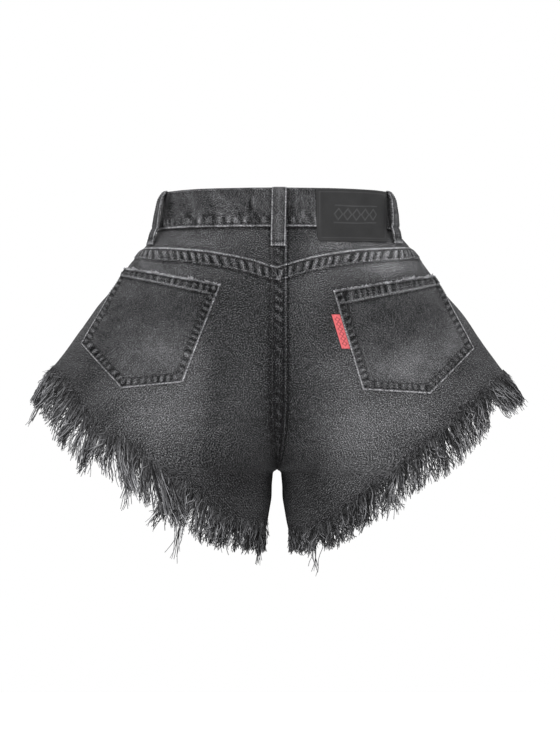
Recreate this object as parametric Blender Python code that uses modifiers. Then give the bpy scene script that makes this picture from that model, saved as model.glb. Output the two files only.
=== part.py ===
"""High-waisted, flared denim shorts with raw, fringed hems, worn and held up at the waist.

The cloth is one surface, form(around, height), worked out from a short table of levels.  Every panel,
pocket, loop and lock of fringe is a patch of that surface, so what is sewn on follows what it lies on.

Lengths are in millimetres and angles in degrees until an object is made.  +Z is up, the front faces -Y
and the wearer's left is +X.  The origin is the middle of the waist's ring, 14 to 17 mm under the
waistband's upper edge.  "around" is 0 at the centre back, 90 at the wearer's left side seam and 180 at the
centre front; it is negative on the wearer's right.
"""

import math
import random

import bmesh
import bpy
import numpy as np
from mathutils import Vector

MM = 0.001  # metres in a millimetre

# ---------------------------------------------------------------- driving sizes
WAIST_SEAM = -23.0  # height of the waistband's lower edge
CROTCH = -258.0  # height of the point where the four panels meet
SPLIT_TOP = -150.0  # below this height the centre seam curves under
INSEAM_BACK = 5.0  # how far behind the middle the inseam lies
SQUARE = 0.045  # how far a section is from an ellipse towards a rounded box
TUCK = 0.22  # the share of the width over which cloth is drawn in to the inseam

CLOTH = 1.2  # one layer of denim
BAND_OUT = 1.4  # how far the folded waistband stands proud of a panel
GAP = 0.3  # clearance between two pieces that are sewn together
LAID_GAP = 0.45  # clearance under a piece that lies on a panel
HEM_GAP = 0.9  # clearance between the cloth's raw edge and the strip of fringe
FELL_RISE = 0.9  # a felled seam's rise over the panel
CENTRE_FELL = {1: 6.0, -1: 10.0}  # reach of the felled centre back seam to the wearer's left and right
YOKE_FELL = 12.0  # width of the felled yoke seam
LOOP_CLOTH = 1.8


class Table:
    """Rows of named columns, read at any key by a smooth curve.  The first column is the key."""

    def __init__(self, columns, rows):
        rows = sorted(rows)
        self.keys = np.array([row[0] for row in rows], float)
        self.columns = {
            name: np.array([row[i] for row in rows], float)
            for i, name in enumerate(columns)
        }

    def __call__(self, column, at):
        x, y = self.keys, self.columns[column]
        step, rise = np.diff(x), np.diff(y)
        slope = rise / step
        tangent = np.zeros_like(y)
        inner = slope[:-1] * slope[1:] > 0
        both = slope[:-1] + slope[1:]
        tangent[1:-1][inner] = 2 * (slope[:-1] * slope[1:])[inner] / both[inner]
        tangent[0], tangent[-1] = slope[0], slope[-1]
        at = np.asarray(at, float)
        inside = np.clip(at, x[0], x[-1])
        i = np.clip(np.searchsorted(x, inside) - 1, 0, len(step) - 1)
        u = (inside - x[i]) / step[i]
        value = (
            (1 + 2 * u) * (1 - u) ** 2 * y[i]
            + u * (1 - u) ** 2 * step[i] * tangent[i]
            + u * u * (3 - 2 * u) * y[i + 1]
            + u * u * (u - 1) * step[i] * tangent[i + 1]
        )
        beyond = (at - inside) * np.where(at > inside, tangent[-1], tangent[0])
        return value + beyond


# Half the width from side to side, and the depths behind and before the middle, at each height.
LEVELS = Table(
    ("height", "half_width", "back", "front"),
    [
        (19, 111, 80, 80),
        (-23, 119.5, 86, 84),
        (-30, 125, 88.5, 86),
        (-46, 139, 92, 88.5),
        (-62, 151, 96.5, 91),
        (-94, 175, 103, 95.5),
        (-126, 199, 109, 98.5),
        (-158, 223, 112.5, 100.5),
        (-200, 256, 114, 102),
        (-258, 300, 113, 103),
        (-330, 356, 110, 104),
    ],
)

# Half the gap between the legs below the crotch.
LEG_GAP = Table(("height", "gap"), [(-258, 0), (-259, 3), (-262, 4.4), (-290, 7), (-322, 13)])

# Height of the waistband's upper edge on its way round.
WAIST_TOP = Table(("around", "height"), [(0, 15), (60, 14.5), (90, 17), (125, 15), (180, 14.5)])

# The yoke seam's height on its way round from the centre back to the side seam.
YOKE_SEAM = Table(
    ("around", "height"),
    [(0, -63.5), (8, -56), (16, -51), (30, -46), (55, -42.5), (90, -40)],
)

# The raw hem of each leg, seen from behind: its height at each distance from the middle of the garment.
HEM = Table(
    ("across", "left", "right"),
    [
        (12, -314, -321),
        (40, -307, -314),
        (63, -292, -297),
        (80, -277, -281),
        (112, -253, -257),
        (134, -234, -236),
        (158, -222, -218),
        (174, -213, -202),
        (184, -201, -195),
        (194, -187, -187),
        (206, -172, -177),
        (228, -158, -165),
    ],
)
FRONT_HEM_RISE = 5.0  # the front hem is cut higher than the back at mid panel

# Soft folds down the legs: where, how wide, how deep (outward if positive), where they start and end.
FOLD_COLUMNS = ("around", "spread", "depth", "from_height", "to_height")
FOLDS = [
    (31, 9, 4.0, -120, -250),
    (50, 8, -3.0, -130, -230),
    (-30, 9, 3.5, -120, -250),
    (-52, 8, -3.0, -130, -230),
    (72, 8, 3.0, -90, -180),
    (-70, 8, 3.5, -90, -180),
    (112, 8, -3.5, -80, -190),
    (-114, 8, -3.0, -80, -190),
    (132, 9, 4.0, -90, -240),
    (-135, 9, 4.5, -90, -240),
    (152, 8, -3.0, -110, -260),
    (-154, 8, -3.5, -110, -260),
]


# ---------------------------------------------------------------- the form
def ease(x):
    """Goes smoothly from 0 to 1 as x does."""
    x = np.clip(x, 0, 1)
    return x * x * (3 - 2 * x)


def two_legs(height):
    """0 where the body is one tube, 1 where it is two legs, and a quarter circle between them."""
    u = np.clip((SPLIT_TOP - height) / (SPLIT_TOP - CROTCH), 0, 1)
    return 1 - np.sqrt(1 - u * u)


def section(turn, height):
    """A half section's point, with turn 0 at the centre back and 180 at the centre front."""
    t = np.radians(turn)
    wide = LEVELS("half_width", height)
    depth = np.where(np.cos(t) > 0, LEVELS("back", height), LEVELS("front", height))
    across = (np.sin(t) + SQUARE * np.sin(3 * t)) / (1 - SQUARE)
    whole_y = depth * (np.cos(t) - SQUARE * np.cos(3 * t)) / (1 - SQUARE)
    share = np.abs(across) * (1 - np.exp(-np.abs(across) / TUCK)) / (1 - math.exp(-1 / TUCK))
    share = np.clip(share, 0, 1)
    gap = LEG_GAP("gap", np.minimum(height, CROTCH))
    leg_x = gap + (wide - gap) * share
    leg_depth = np.where(np.sin(2 * t) > 0, LEVELS("back", height), -LEVELS("front", height))
    leg_y = 2 * leg_depth * np.sqrt(share * (1 - share)) + INSEAM_BACK * (1 - share)
    legs = two_legs(height)
    return (1 - legs) * wide * across + legs * leg_x, (1 - legs) * whole_y + legs * leg_y


def fold_depth(around, height):
    """How far the soft folds move the cloth outward."""
    depth = np.zeros(np.broadcast(around, height).shape)
    for row in FOLDS:
        fold = dict(zip(FOLD_COLUMNS, row))
        run = (fold["from_height"] - height) / (fold["from_height"] - fold["to_height"])
        near = np.exp(-(((around - fold["around"]) / fold["spread"]) ** 2))
        depth = depth + fold["depth"] * near * ease(run)
    return depth


def form(around, height):
    """Points of the cloth's outer surface, as an array whose last axis is x, y, z."""
    around, height = np.broadcast_arrays(
        np.asarray(around, float), np.asarray(height, float)
    )
    side = np.where(np.signbit(around), -1.0, 1.0)
    turn = np.abs(around)
    x, y = section(turn, height)
    x0, y0 = section(turn - 0.4, height)
    x1, y1 = section(turn + 0.4, height)
    along = np.hypot(x1 - x0, y1 - y0) + 1e-9
    depth = fold_depth(around, height)
    x = x - depth * (y1 - y0) / along
    y = y + depth * (x1 - x0) / along
    return np.stack([side * x, y, height], axis=-1)


def surface(around, height):
    """Points of the form with their outward normals."""
    around, height = np.broadcast_arrays(
        np.asarray(around, float), np.asarray(height, float)
    )
    side = np.where(np.signbit(around), -1.0, 1.0)
    turn = np.abs(around)

    def near(turn_step, drop):
        x, y = section(turn + turn_step, height - drop)
        lift = fold_depth(around, height - drop)
        return x, y, lift

    point = form(around, height)
    x0, y0, _ = near(-0.5, 0)
    x1, y1, _ = near(0.5, 0)
    xa, ya, lift_a = near(0, -1.0)
    xb, yb, lift_b = near(0, 1.0)
    across = np.stack([x1 - x0, y1 - y0, np.zeros_like(x0)], axis=-1)
    out = np.stack([-(y1 - y0), x1 - x0, np.zeros_like(x0)], axis=-1)
    out = out / (np.linalg.norm(out, axis=-1, keepdims=True) + 1e-12)
    down = np.stack([xb - xa, yb - ya, np.full_like(x0, -2.0)], axis=-1)
    down = down + out * (lift_b - lift_a)[..., None]
    normal = np.cross(across, down)
    normal = normal / (np.linalg.norm(normal, axis=-1, keepdims=True) + 1e-12)
    normal[..., 0] *= side
    return point, normal


def hem_height(around):
    """The height where the raw hem crosses the line of the cloth at this place."""
    around = np.asarray(around, float)
    side = np.where(np.signbit(around), -1, 1)
    turn = np.abs(around)
    low, high = np.full(turn.shape, -345.0), np.full(turn.shape, -120.0)
    rise = FRONT_HEM_RISE * np.clip(-np.sin(2 * np.radians(turn)), 0, 1)
    for _ in range(30):
        middle = (low + high) / 2
        x, _y = section(turn, middle)
        hem = np.where(side > 0, HEM("left", x), HEM("right", x))
        above = middle > hem + rise
        high = np.where(above, middle, high)
        low = np.where(above, low, middle)
    return (low + high) / 2


# ---------------------------------------------------------------- making objects
def material(name, colour, roughness=0.9, metallic=0.0):
    made = bpy.data.materials.new(name)
    made.use_nodes = True
    shader = made.node_tree.nodes["Principled BSDF"]
    shader.inputs["Base Color"].default_value = (*colour, 1.0)
    shader.inputs["Roughness"].default_value = roughness
    shader.inputs["Metallic"].default_value = metallic
    made.diffuse_color = (*colour, 1.0)
    return made


def add_object(name, bm, finish):
    bmesh.ops.recalc_face_normals(bm, faces=bm.faces)
    if bm.calc_volume(signed=True) < 0:
        bmesh.ops.reverse_faces(bm, faces=bm.faces)
    bmesh.ops.triangulate(bm, faces=bm.faces, quad_method="SHORT_EDGE")
    mesh = bpy.data.meshes.new(name)
    bm.to_mesh(mesh)
    bm.free()
    mesh.shade_smooth()
    mesh.set_sharp_from_angle(angle=math.radians(40))
    mesh.materials.append(finish)
    made = bpy.data.objects.new(name, mesh)
    GARMENT.objects.link(made)
    return made


def wall_mesh(outer, inner):
    """A closed wall between two sheets of points, each an array of rows by columns by 3.

    The vertices keep their row and column, so that a caller can find the faces along an edge.
    """
    rows, columns = outer.shape[:2]
    bm = bmesh.new()
    bmesh.ops.create_grid(bm, x_segments=columns - 1, y_segments=rows - 1, size=0.5)
    row_of, column_of = (bm.verts.layers.int.new(word) for word in ("row", "column"))
    for vertex in bm.verts:
        vertex[column_of] = round((vertex.co.x + 0.5) * (columns - 1))
        vertex[row_of] = round((vertex.co.y + 0.5) * (rows - 1))
    sheet = list(bm.verts)
    pulled = bmesh.ops.extrude_face_region(bm, geom=bm.faces[:], use_keep_orig=True)
    for vertex in sheet:
        vertex.co = inner[vertex[row_of], vertex[column_of]] * MM
    for vertex in (v for v in pulled["geom"] if isinstance(v, bmesh.types.BMVert)):
        vertex.co = outer[vertex[row_of], vertex[column_of]] * MM
    return bm, row_of, column_of


def wall(name, outer, inner, finish):
    bm, _row_of, _column_of = wall_mesh(outer, inner)
    return add_object(name, bm, finish)


def degrees_per_mm(around, height):
    """How far round a millimetre of cloth reaches here."""
    step = 0.5
    here, beside = form(around, height), form(around + step, height)
    return step / np.linalg.norm(beside - here, axis=-1)


def strip_grid(around, heights, across):
    """Around and height of a strip down the cloth: one row a height, columns across it in millimetres."""
    around = np.broadcast_to(around, heights.shape)
    grid_around = around[:, None] + across[None, :] * degrees_per_mm(around, heights)[:, None]
    return grid_around, np.repeat(heights[:, None], len(across), axis=1)


def spread(row_around, row_height, first, last, between):
    """Columns along one row of cloth: set distances from its two ends, and even ones between them.

    row_around and row_height are a fine line along the row.  The result is around and height at each column.
    """
    points = form(row_around, row_height)
    steps = np.linalg.norm(np.diff(points, axis=0), axis=1)
    run = np.concatenate([[0], np.cumsum(steps)])
    length = run[-1]
    start, stop = first[-1], length - last[-1]
    middle = np.linspace(start, stop, between + 1)[1:-1]
    at = np.concatenate([first, middle, length - np.array(last[::-1])])
    return np.interp(at, run, row_around), np.interp(at, run, row_height)


def rows_between(around, top, bottom, shares, bands=()):
    """Heights of a panel's rows: bands are set distances below the top, shares split the rest."""
    heights = [top - GAP / 2]
    heights += [top - band for band in bands]
    start = heights[-1]
    heights += [start + share * (bottom - start) for share in shares]
    return [np.broadcast_to(h, around.shape) for h in heights]


def sheet_grid(row_arounds, row_heights, first, last, between):
    """The around and height of every grid point of a panel."""
    columns = [
        spread(a, h, first, last, between) for a, h in zip(row_arounds, row_heights)
    ]
    return np.array([c[0] for c in columns]), np.array([c[1] for c in columns])


def off_centre(points, side):
    """Keeps a panel on its own side of the middle, half a gap away."""
    points[..., 0] = side * np.maximum(side * points[..., 0], GAP / 2)
    return points


def cloth_wall(name, around, height, finish, rise=0.0, lift=0.0, side=0):
    """A layer of denim on the form.  rise thickens it outward; lift moves the whole layer outward."""
    point, normal = surface(around, height)
    rise = np.broadcast_to(rise, around.shape)[..., None]
    lift = np.broadcast_to(lift, around.shape)[..., None]
    outer = point + normal * (lift + rise)
    inner = point + normal * (lift - CLOTH)
    if side:
        outer, inner = off_centre(outer, side), off_centre(inner, side)
    return wall(name, outer, inner, finish)


def ordered(values, side):
    """Columns run the same way round on both sides, so that every sheet faces outward."""
    return values if side > 0 else values[::-1]


SIDES = (("left", 1), ("right", -1))
FINE = 240  # points in a fine line along a row
PANEL_COLUMNS = 18  # even columns across a panel


# ---------------------------------------------------------------- back
CROTCH_SHARE_STEPS = (31.6, 14.5, 3.7, 0.0)  # heights over the crotch, for an even curve of the centre seam


def centre_shares(top, bottom, upper, lower):
    """Row shares for a panel whose centre edge runs to the crotch and on down the inseam."""
    reach = top - bottom
    fork = [(top - (CROTCH + step)) / reach for step in CROTCH_SHARE_STEPS]
    above = list(np.linspace(0, fork[0], upper + 1)[1:-1])
    below = list(np.linspace(fork[-1], 1, lower + 1)[1:])
    return above + fork + below


def make_back(word, side, finish):
    """The back panel, from the yoke seam to the raw hem, with its felled top and centre edges."""
    turn = np.linspace(1e-9, 90, FINE)
    around = ordered(side * turn, side)
    top = YOKE_SEAM("height", np.abs(around))
    bottom = hem_height(around)
    centre_top, centre_bottom = YOKE_SEAM("height", 0) - YOKE_FELL, hem_height(1e-9)
    shares = centre_shares(centre_top, centre_bottom, 7, 4)
    heights = rows_between(around, top, bottom, shares, (YOKE_FELL - 1.0, YOKE_FELL))
    fell = CENTRE_FELL[side]
    centre, seam = (GAP / 2, fell - 1.0, fell), (GAP / 2, 5.0)
    first, last = (centre, seam) if side > 0 else (seam, centre)
    arounds = [around] * len(heights)
    grid_around, grid_height = sheet_grid(arounds, heights, first, last, PANEL_COLUMNS)
    rise = np.zeros(grid_around.shape)
    rise[:2] = FELL_RISE
    felled = slice(0, 2) if side > 0 else slice(-2, None)
    rise[:, felled] = FELL_RISE
    cloth_wall(f"back_{word}", grid_around, grid_height, finish, rise, side=side)


def make_yoke(word, side, finish):
    turn = np.linspace(1e-9, 90, FINE)
    around = ordered(side * turn, side)
    top = np.full(FINE, WAIST_SEAM - GAP / 2)
    bottom = YOKE_SEAM("height", np.abs(around)) + GAP / 2
    heights = [top + share * (bottom - top) for share in (0, 0.35, 0.7, 1)]
    fell = CENTRE_FELL[side]
    centre, seam = (GAP / 2, fell - 1.0, fell), (GAP / 2, 5.0)
    first, last = (centre, seam) if side > 0 else (seam, centre)
    grid_around, grid_height = sheet_grid([around] * 4, heights, first, last, 13)
    rise = np.zeros(grid_around.shape)
    felled = slice(0, 2) if side > 0 else slice(-2, None)
    rise[:, felled] = FELL_RISE
    cloth_wall(f"yoke_{word}", grid_around, grid_height, finish, rise, side=side)


# ---------------------------------------------------------------- front
SCOOP_START = 126.0  # around, where the pocket mouth leaves the waistband
SCOOP_SIDE = -96.0  # height, where the pocket mouth meets the side seam
FACING_TUCK = 14.0  # how far the facing reaches under the pocket mouth
FACING_GAP = 0.8  # clearance between the facing and the front panel over it
FLY_EDGE = 11.0  # how far the left front laps over the right
FLY_FOOT = -122.0  # height of the fly's lower end
FLY_EASE = 13.0  # height over which the lap ends
FLY_SETTLE = (-195.0, -155.0)  # heights between which the left front comes down to the right one's level


def scoop_height(turn):
    """The front panel's upper edge: the waistband seam, then the curved pocket mouth out to the side seam."""
    share = np.clip((SCOOP_START - turn) / (SCOOP_START - 90), 0, 1)
    curve = np.sqrt(1 - (1 - share) ** 2)
    return WAIST_SEAM + (SCOOP_SIDE - WAIST_SEAM) * curve


def lap(height):
    """1 along the fly, and 0 below its foot."""
    return ease((height - FLY_FOOT) / FLY_EASE + 1)


def fly_lift(x, height):
    """The left front rises over the right one along the fly."""
    near = ease((FLY_EDGE + 3 - x) / (FLY_EDGE + 2))
    level, raised = FLY_SETTLE
    return (CLOTH + GAP) * near * ease((height - level) / (raised - level))


def make_front(word, side, finish):
    """The front panel, cut away at the pocket mouth; the left one laps over the right along the fly."""
    scooped = SCOOP_START - (SCOOP_START - 90) * (
        1 - np.cos(np.linspace(0, math.pi / 2, 40))
    )
    turn = np.concatenate([scooped[::-1], np.linspace(SCOOP_START, 180, FINE)[1:]])
    top = scoop_height(turn) - GAP / 2
    bottom = hem_height(side * turn)
    reach = -(WAIST_SEAM - GAP / 2) + hem_height(180.0)
    shares = centre_shares(WAIST_SEAM, WAIST_SEAM + reach, 9, 4)
    arounds, heights = [], []
    for share in [0] + shares:
        height = top + share * (bottom - top)
        centre_height = height[-1]
        beyond = 0.0
        if side > 0:
            wide = float(LEVELS("half_width", centre_height))
            beyond = math.degrees(FLY_EDGE * float(lap(centre_height)) / wide)
        row = np.concatenate([turn, [180 + beyond + 1e-6]])
        row_height = np.concatenate([height, [centre_height]])
        arounds.append(ordered(side * row, side))
        heights.append(ordered(row_height, side))
    seam, centre = (GAP / 2, 5.0), (GAP / 2, 6.0, FLY_EDGE + 1)
    first, last = (seam, centre) if side > 0 else (centre, seam)
    grid_around, grid_height = sheet_grid(arounds, heights, first, last, PANEL_COLUMNS)
    if side < 0:
        cloth_wall(f"front_{word}", grid_around, grid_height, finish, side=side)
        return
    point, normal = surface(grid_around, grid_height)
    lift = fly_lift(point[..., 0], grid_height)[..., None]
    outer, inner = point + normal * lift, point + normal * (lift - CLOTH)
    seamed = lap(grid_height) < 1e-6
    outer[seamed], inner[seamed] = (
        off_centre(p[seamed], side) for p in (outer, inner)
    )
    wall(f"front_{word}", outer, inner, finish)


def make_facing(word, side, finish):
    """The denim that shows inside the front pocket's mouth, tucked under the front panel."""
    turn = np.linspace(90, SCOOP_START + 7, FINE)
    around = ordered(side * turn, side)
    top = np.full(FINE, WAIST_SEAM - GAP / 2)
    bottom = ordered(scoop_height(turn), side) - FACING_TUCK
    heights = [top + share * (bottom - top) for share in np.linspace(0, 1, 6)]
    edge = (GAP / 2, 5.0)
    grid_around, grid_height = sheet_grid([around] * 6, heights, edge, edge, 7)
    cloth_wall(
        f"pocket_facing_{word}", grid_around, grid_height, finish, lift=-(CLOTH + FACING_GAP)
    )


ZIP_TAPE = 24.0  # width of the zip's tape
ZIP_CHAIN = 6.0  # width of its chain
ZIP_THICK, CHAIN_RISE = 0.8, 0.8
ZIP_ASIDE = 3.0  # how far the chain lies to the wearer's left of the middle


def make_zip(finish):
    """The closed zip's tape and chain, flat behind the fly."""
    heights = np.linspace(WAIST_SEAM - 2, FLY_FOOT + 4, 6)
    half, edge, chain = ZIP_TAPE / 2, ZIP_CHAIN / 2 + 0.4, ZIP_CHAIN / 2
    across = np.array([-half, -edge, -chain, chain, edge, half])
    rise = np.where(np.abs(across) <= chain, CHAIN_RISE, 0.0)[None, :, None]
    middle = 180 - ZIP_ASIDE * degrees_per_mm(np.full(heights.shape, 180.0), heights)
    point, normal = surface(*strip_grid(middle, heights, across))
    seat = -(CLOTH + GAP)
    wall("zip", point + normal * seat, point + normal * (seat - ZIP_THICK - rise), finish)


# ---------------------------------------------------------------- waistband
UNDER_END = 9.5  # how far past the centre front the under end of the band reaches
DIP_FROM, DIP_TO = -156.0, -171.0  # around, where the under end dips inside the other


def make_waistband(finish):
    """One folded strip from its under end on the wearer's right, round the back, to its end at the fly."""
    edge = math.degrees(FLY_EDGE / 116)
    around = np.concatenate(
        [np.linspace(-180 - UNDER_END, -1e-9, 2 * FINE), np.linspace(1e-9, 180 + edge, 2 * FINE)]
    )
    top, foot = WAIST_TOP("height", np.abs(around)), WAIST_SEAM + GAP / 2
    heights = [top + share * (foot - top) for share in (0, 0.08, 0.75, 1)]
    ends = (0.0, 4.0)
    grid_around, grid_height = sheet_grid([around] * 4, heights, ends, ends, 66)
    point, normal = surface(grid_around, grid_height)
    dip = ease((grid_around - DIP_FROM) / (DIP_TO - DIP_FROM))
    seat = -dip[..., None] * (CLOTH + BAND_OUT + GAP)
    rounded = np.array([0.5, 0, 0, 0.2])[:, None, None]
    outer = point + normal * (seat + BAND_OUT - rounded)
    inner = point + normal * (seat - CLOTH)
    wall("waistband", outer, inner, finish)


LOOP_WIDTH = 14.0
LOOP_ROWS = (0, 0.05, 0.12, 0.21, 0.32, 0.44, 0.56, 0.68, 0.8, 0.9, 1)
# The gap under a belt loop at each share of its length.  It is sewn flat at both ends and stands off between
# them; a loop over the hollow at the waist stands off further.
LOOP_BOW = Table(
    ("share", "snug", "slack"),
    [
        (0, BAND_OUT + GAP, BAND_OUT + GAP),
        (0.08, 3.4, 4.2),
        (0.2, 4.8, 6.4),
        (0.35, 4.2, 7.2),
        (0.5, 3.6, 7.8),
        (0.68, 4.2, 7.6),
        (0.82, 4.2, 6.0),
        (0.92, 2.4, 3.4),
        (1, FELL_RISE + GAP, FELL_RISE + GAP),
    ],
)
# Where the upper and lower end of each loop stand, how long it is and how it bows.
LOOPS = {
    "belt_loop_back": (-1.0, -0.4, 57.0, "snug"),
    "belt_loop_side_left": (71.0, 63.0, 54.5, "slack"),
    "belt_loop_side_right": (-70.5, -57.0, 53.5, "slack"),
    "belt_loop_front_left": (146.0, 142.0, 55.0, "slack"),
    "belt_loop_front_right": (-146.0, -142.0, 55.0, "slack"),
}


def make_loop(name, upper, lower, length, bow, finish):
    shares = np.array(LOOP_ROWS)
    around = upper + shares * (lower - upper)
    heights = WAIST_TOP("height", abs(upper)) - shares * length
    across = np.array([-0.5, -0.42, 0.42, 0.5]) * LOOP_WIDTH
    point, normal = surface(*strip_grid(around, heights, across))
    seat = LOOP_BOW(bow, shares)[:, None, None]
    crown = np.array([0.3, 0, 0, 0.3])[None, :, None]
    outer = point + normal * (seat + LOOP_CLOTH - crown)
    wall(name, outer, point + normal * seat, finish)


PATCH_TOP, PATCH_FOOT, PATCH_THICK = 14.0, -37.2, 1.3
PATCH_EDGES = Table(
    ("height", "inner", "outer"),
    [(PATCH_TOP, 16.3, 65.2), (-4.0, 16.1, 61.3), (WAIST_SEAM, 15.6, 56.3), (PATCH_FOOT, 14.7, 48.4)],
)


def make_patch(finish):
    """The leather patch on the wearer's right, sewn over the waistband and the yoke below it."""
    heights = np.linspace(PATCH_TOP, PATCH_FOOT, 9)
    inner, outer = PATCH_EDGES("inner", heights), PATCH_EDGES("outer", heights)
    share = np.linspace(1, 0, 12)
    grid_around = -(inner[:, None] + share[None, :] * (outer - inner)[:, None])
    grid_height = np.repeat(heights[:, None], len(share), axis=1)
    point, normal = surface(grid_around, grid_height)
    low = ease((WAIST_SEAM + 1 - grid_height) / 9)[..., None]
    seat = BAND_OUT + LAID_GAP - low * 0.9
    wall("waist_patch", point + normal * (seat + PATCH_THICK), point + normal * seat, finish)


# ---------------------------------------------------------------- back pockets
# Corners of each pocket on the cloth, in order from the upper inner one, nearest the centre back, and the width
# of the folded hem along its mouth, at the inner and outer ends.
POCKETS = {
    "left": {
        "top_in": (16.1, -79.2),
        "top_out": (84.0, -61.0),
        "low_out": (61.6, -135.4),
        "foot": (32.9, -178.1),
        "low_in": (19.0, -172.0),
        "hem": (11.0, 9.0),
    },
    "right": {
        "top_in": (15.6, -85.4),
        "top_out": (84.0, -68.5),
        "low_out": (60.2, -140.0),
        "foot": (31.8, -183.0),
        "low_in": (16.9, -178.8),
        "hem": (14.0, 10.5),
    },
}
# Shares across a pocket: closer towards the side, where the cloth turns away.  Its foot lies at one of them.
POCKET_FOOT = 0.583
POCKET_COLUMNS = (0, 0.1, 0.2, 0.3, 0.4, 0.49, POCKET_FOOT, 0.67, 0.75, 0.82, 0.88, 0.93, 0.965, 0.988, 1)


def from_behind(corner):
    """A corner's distance across, seen from behind, and its height."""
    x, _y = section(corner[0], corner[1])
    return np.array([float(x), corner[1]])


def onto_cloth(grid):
    """Turn and height for distances across and heights, on the wearer's left half of the back."""
    low, high = np.zeros(grid.shape[:-1]), np.full(grid.shape[:-1], 90.0)
    for _ in range(30):
        middle = (low + high) / 2
        x, _y = section(middle, grid[..., 1])
        beyond = x > grid[..., 0]
        high = np.where(beyond, middle, high)
        low = np.where(beyond, low, middle)
    return np.stack([(low + high) / 2, grid[..., 1]], axis=-1)


def pocket_grid(corners, rows=(0, 0.5, 0.93, 1.0, 0.25, 0.5, 0.75, 1.0)):
    """Turn and height over a five-sided pocket, with sides that look straight from behind.

    The first rows cross the hem, the others the body.
    """
    across = np.array(POCKET_COLUMNS)[:, None]
    top_in, top_out, low_out, foot, low_in = (
        from_behind(corners[k]) for k in ("top_in", "top_out", "low_out", "foot", "low_in")
    )
    mouth = top_in + across * (top_out - top_in)
    near = low_in + np.minimum(across / POCKET_FOOT, 1) * (foot - low_in)
    far = foot + np.clip((across - POCKET_FOOT) / (1 - POCKET_FOOT), 0, 1) * (low_out - foot)
    base = np.where(across <= POCKET_FOOT, near, far)
    upper, lower = (form(*onto_cloth(edge).T) for edge in (mouth, base))
    reach = np.linalg.norm(upper - lower, axis=-1)
    hem = np.interp(across[:, 0], (0, 1), corners["hem"])
    hem_share = (hem / reach)[:, None]
    grid = [mouth + (base - mouth) * hem_share * share for share in rows[:4]]
    grid += [
        mouth + (base - mouth) * (hem_share + (1 - hem_share) * share)
        for share in rows[4:]
    ]
    return onto_cloth(np.array(grid))


def make_pocket(word, side, finish):
    grid = pocket_grid(POCKETS[word])
    grid_around = side * grid[..., 0]
    grid_height = grid[..., 1]
    if side < 0:
        grid_around, grid_height = grid_around[:, ::-1], grid_height[:, ::-1]
    point, normal = surface(grid_around, grid_height)
    rise = np.zeros(grid_around.shape)
    rise[:3] = FELL_RISE
    outer = point + normal * (LAID_GAP + CLOTH + rise)[..., None]
    wall(f"back_pocket_{word}", outer, point + normal * LAID_GAP, finish)


TAB = {"from": 0.24, "to": 0.585, "width": 8.0, "thick": 1.0}


def make_tab(finish):
    """The folded ribbon caught in the inner edge of the wearer's right back pocket."""
    corners = POCKETS["right"]
    top, foot = from_behind(corners["top_in"]), from_behind(corners["low_in"])
    share = np.linspace(TAB["from"], TAB["to"], 5)[:, None]
    edge = onto_cloth(top + (foot - top) * share)
    across = np.array([GAP, TAB["width"] / 2, TAB["width"]])
    point, normal = surface(*strip_grid(-edge[:, 0], edge[:, 1], across))
    face = point + normal * (LAID_GAP + TAB["thick"])
    wall("pocket_tab", face, point + normal * LAID_GAP, finish)


# ---------------------------------------------------------------- button
BUTTON_HEIGHT = -2.0
BUTTON_SIDES = 24
# The button's outline, from the middle of its face to the foot of its shank: radius, distance from the cloth.
BUTTON_PROFILE = [
    (0, 4.2),
    (5.4, 4.1),
    (6.0, 4.7),
    (7.6, 4.7),
    (8.4, 4.1),
    (8.5, 2.9),
    (7.6, 1.9),
    (3.0, 1.6),
    (3.0, 0.5),
    (0, 0.5),
]


def make_button(finish):
    """A shank button, turned about its own axis and set square to the band."""
    outline = bpy.data.meshes.new("waist_button")
    corners = [(radius * MM, 0, out * MM) for radius, out in BUTTON_PROFILE]
    outline.from_pydata(corners, [(i, i + 1) for i in range(len(corners) - 1)], [])
    outline.materials.append(finish)
    made = bpy.data.objects.new("waist_button", outline)
    GARMENT.objects.link(made)
    turned = made.modifiers.new("turned", "SCREW")
    turned.steps = turned.render_steps = BUTTON_SIDES
    turned.use_merge_vertices = True
    turned.merge_threshold = 1e-5
    turned.use_smooth_shade = True
    point, normal = surface(np.array(180.0), np.array(BUTTON_HEIGHT))
    made.location = (point + normal * BAND_OUT) * MM
    made.rotation_euler = (math.radians(90), 0, 0)


# ---------------------------------------------------------------- fringe
FRINGE_STRIP = 3.5  # height of the woven strip that the locks hang from
# Length of the fringe on its way round each leg: turn, wearer's left, wearer's right.
FRINGE_LENGTH = Table(
    ("turn", "left", "right"),
    [
        (0, 27, 20),
        (8, 27, 22),
        (15, 38, 27),
        (20, 42, 34),
        (30, 42, 36),
        (45, 40, 33),
        (65, 37, 31),
        (90, 36, 28),
        (130, 34, 32),
        (165, 30, 28),
        (180, 25, 20),
    ],
)
# Single long locks: which strip, how far round and how long.
LONG_LOCKS = [
    ("back_left", 3, 42),
    ("back_left", 16.5, 66),
    ("back_left", 18.5, 52),
    ("back_left", 25.5, 60),
    ("back_left", 60, 58),
    ("back_right", 7, 42),
    ("back_right", 21, 46),
]
LOCKS = 52  # in each of the four strips
LOCK_SHARES = (0.45, 0.55)  # a lock's two stretches, as shares of its length
LOCK_PINCH = (0.70, 0.28)  # its width at the end of each, as shares of its root
LOCK_SAG = (0.3, 0.75)  # how far each hangs plumb instead of running on down the cloth


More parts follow.
